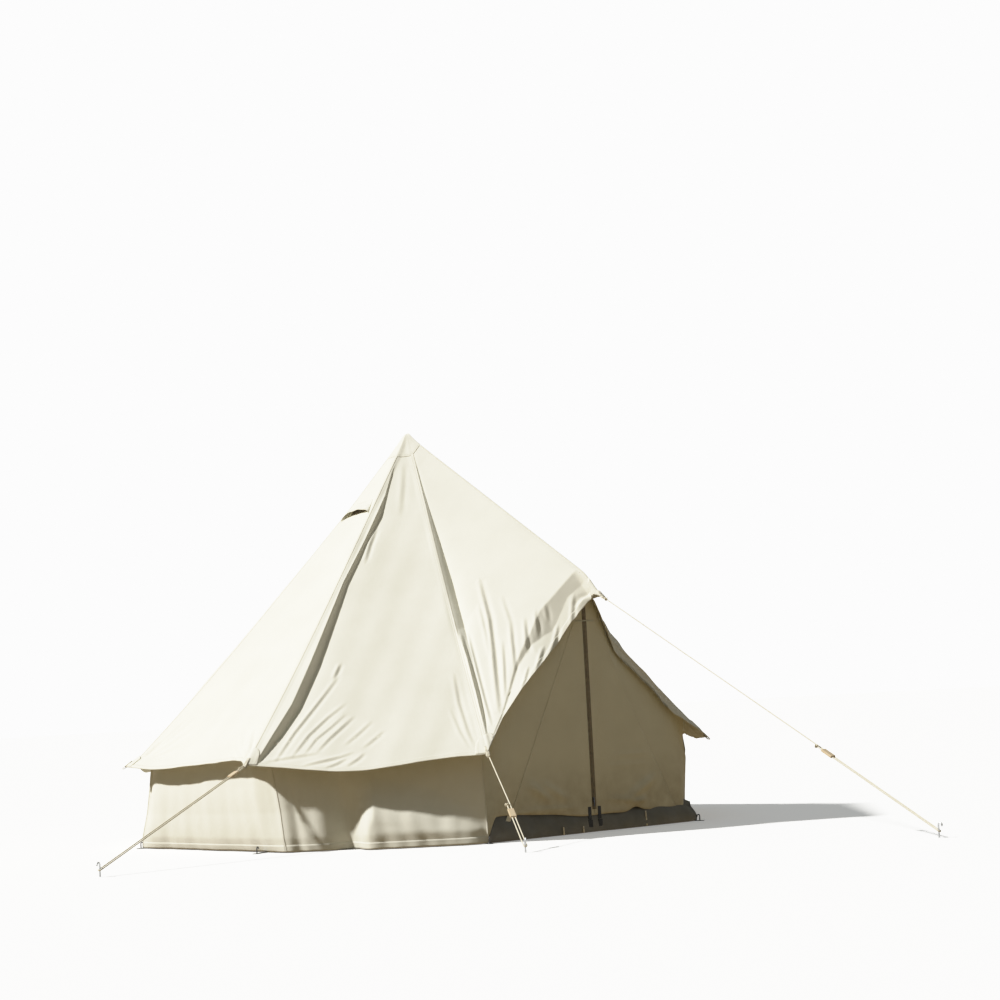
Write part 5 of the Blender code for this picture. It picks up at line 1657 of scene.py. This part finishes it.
def make_camera():
    """Camera low in front of the tent, a little rolled, at the photograph's angle."""
    heading = CAMERA_AZIMUTH + CAMERA_TURN
    back = Vector((math.sin(heading), -math.cos(heading), 0))
    forward = -back * math.cos(CAMERA_PITCH) + Vector((0, 0, math.sin(CAMERA_PITCH)))
    level = Vector((math.cos(heading), math.sin(heading), 0))
    up = level.cross(forward)
    right = level * math.cos(CAMERA_ROLL) + up * math.sin(CAMERA_ROLL)
    top = up * math.cos(CAMERA_ROLL) - level * math.sin(CAMERA_ROLL)
    lens = bpy.data.cameras.new("camera")
    lens.lens = CAMERA_LENS
    lens.sensor_width = SENSOR_WIDTH
    item = new_object("camera", lens)
    place = Vector(around(CAMERA_DISTANCE, CAMERA_AZIMUTH, CAMERA_HEIGHT))
    item.matrix_world = Matrix.Translation(place) @ Matrix((right, top, -forward)).transposed().to_4x4()
    bpy.context.scene.camera = item


SUN_AZIMUTH = math.radians(-124)
SUN_HEIGHT = math.radians(42)
SUN_STRENGTH = 5.4
SUN_SPREAD = math.radians(3)
SUN_COLOUR = (1.0, 0.985, 0.95)
# Light of the surround by the height of its direction, from straight down to straight up
SURROUND = ((0.0, (0.34, 0.235, 0.105)), (0.47, (0.22, 0.165, 0.085)), (0.53, (0.20, 0.175, 0.13)),
            (1.0, (0.27, 0.29, 0.29)))
BACKDROP = 1.52
# Tone curve: brightness in the scene at the curve's end, and its points below that
BRIGHTEST = 1.8
SHOULDER = ((0.0, 0.0), (0.20, 0.345), (0.36, 0.60), (0.50, 0.79), (0.66, 0.91), (0.83, 0.97), (1.0, 1.0))


def make_key():
    """Key light from the left."""
    key = bpy.data.lights.new("key", "SUN")
    key.energy = SUN_STRENGTH
    key.angle = SUN_SPREAD
    key.color = SUN_COLOUR
    toward = Vector(around(math.cos(SUN_HEIGHT), SUN_AZIMUTH, math.sin(SUN_HEIGHT)))
    new_object("key", key).rotation_euler = toward.to_track_quat("Z", "Y").to_euler()


def make_surround():
    """Dim warm light from all round, and a white backdrop that only the camera sees."""
    world = bpy.data.worlds.new("surround")
    bpy.context.scene.world = world
    world.use_nodes = True
    tree = world.node_tree
    place = node(tree, "ShaderNodeSeparateXYZ", Vector=place_on(tree, "Generated"))
    rise = combine(tree, "MULTIPLY", combine(tree, "ADD", place.outputs["Z"], 1.0), 0.5)
    lit = tree.nodes["Background"]
    tree.links.new(ramp(tree, rise, SURROUND), lit.inputs["Color"])
    seen = node(tree, "ShaderNodeBackground", Strength=BACKDROP, Color=(1, 1, 1, 1))
    path = tree.nodes.new("ShaderNodeLightPath")
    mix = tree.nodes.new("ShaderNodeMixShader")
    sources = (path.outputs["Is Camera Ray"], lit.outputs[0], seen.outputs[0])
    for source, target in zip(sources, mix.inputs):
        tree.links.new(source, target)
    tree.links.new(mix.outputs[0], tree.nodes["World Output"].inputs["Surface"])


def set_tone():
    """Plain view with a soft shoulder, so that bright canvas keeps its tone."""
    view = bpy.context.scene.view_settings
    view.view_transform = "Standard"
    view.use_curve_mapping = True
    mapping = view.curve_mapping
    mapping.white_level = (BRIGHTEST,) * 3
    points = mapping.curves[3].points
    while len(points) < len(SHOULDER):
        points.new(0.5, 0.5)
    for point, (before, after) in zip(points, SHOULDER):
        point.location = (before, after)
    mapping.update()


# Ground: radius, sides, colour, and the faint light that keeps it as pale as the backdrop
GROUND_RADIUS = 60
GROUND_SIDES = 96
GROUND_COLOUR = (0.92, 0.92, 0.92)
GROUND_GLOW = (0.95, 0.97, 1.0, 1)
GROUND_GLOW_STRENGTH = 0.22


def make_floor():
    """Plain pale floor."""
    look, _, shader = new_material("floor", GROUND_COLOUR, 0.9)
    shader.inputs["Specular IOR Level"].default_value = 0.0
    shader.inputs["Emission Color"].default_value = GROUND_GLOW
    shader.inputs["Emission Strength"].default_value = GROUND_GLOW_STRENGTH
    data = bmesh.new()
    bmesh.ops.create_circle(data, cap_ends=True, radius=GROUND_RADIUS, segments=GROUND_SIDES)
    mesh = bpy.data.meshes.new("floor")
    data.to_mesh(mesh)
    data.free()
    mesh.materials.append(look)
    item = new_object("floor", mesh)
    item.visible_diffuse = False


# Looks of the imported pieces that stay, by the start of their names; the first that fits counts
HARDWARE = (("centre_pole_foot", "rubber"), ("porch_foot_", "rubber"), ("guy_runner_", "wood"),
            ("ground_peg_", "dark_steel"), ("guy_peg_", "steel"), ("centre_pole", "steel"),
            ("porch_pole", "steel"), ("zip_slider", "dark_steel"), ("zip_pull", "dark_steel"),
            ("vent_mesh", "mesh"), ("vent_hood", "canvas"), ("guy_rope", "rope"), ("door_zip", "zip"),
            ("door_strap", "black"), ("rim_loop", "black"), ("apex_cap", "canvas"))


def finish_hardware():
    """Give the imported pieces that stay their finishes."""
    for name, item in nodes.items():
        for start, look in HARDWARE:
            if name.startswith(start):
                item.data.materials.clear()
                item.data.materials.append(LOOKS[look])
                break


make_camera()
make_key()
make_surround()
set_tone()
make_floor()
make_roof()
make_cap()
make_vents()
make_guys()
make_walls()
for side, sign in (("left", -1), ("right", 1)):
    make_door_side(side, sign)
    make_leaf(side, sign)
make_tray()
finish_hardware()
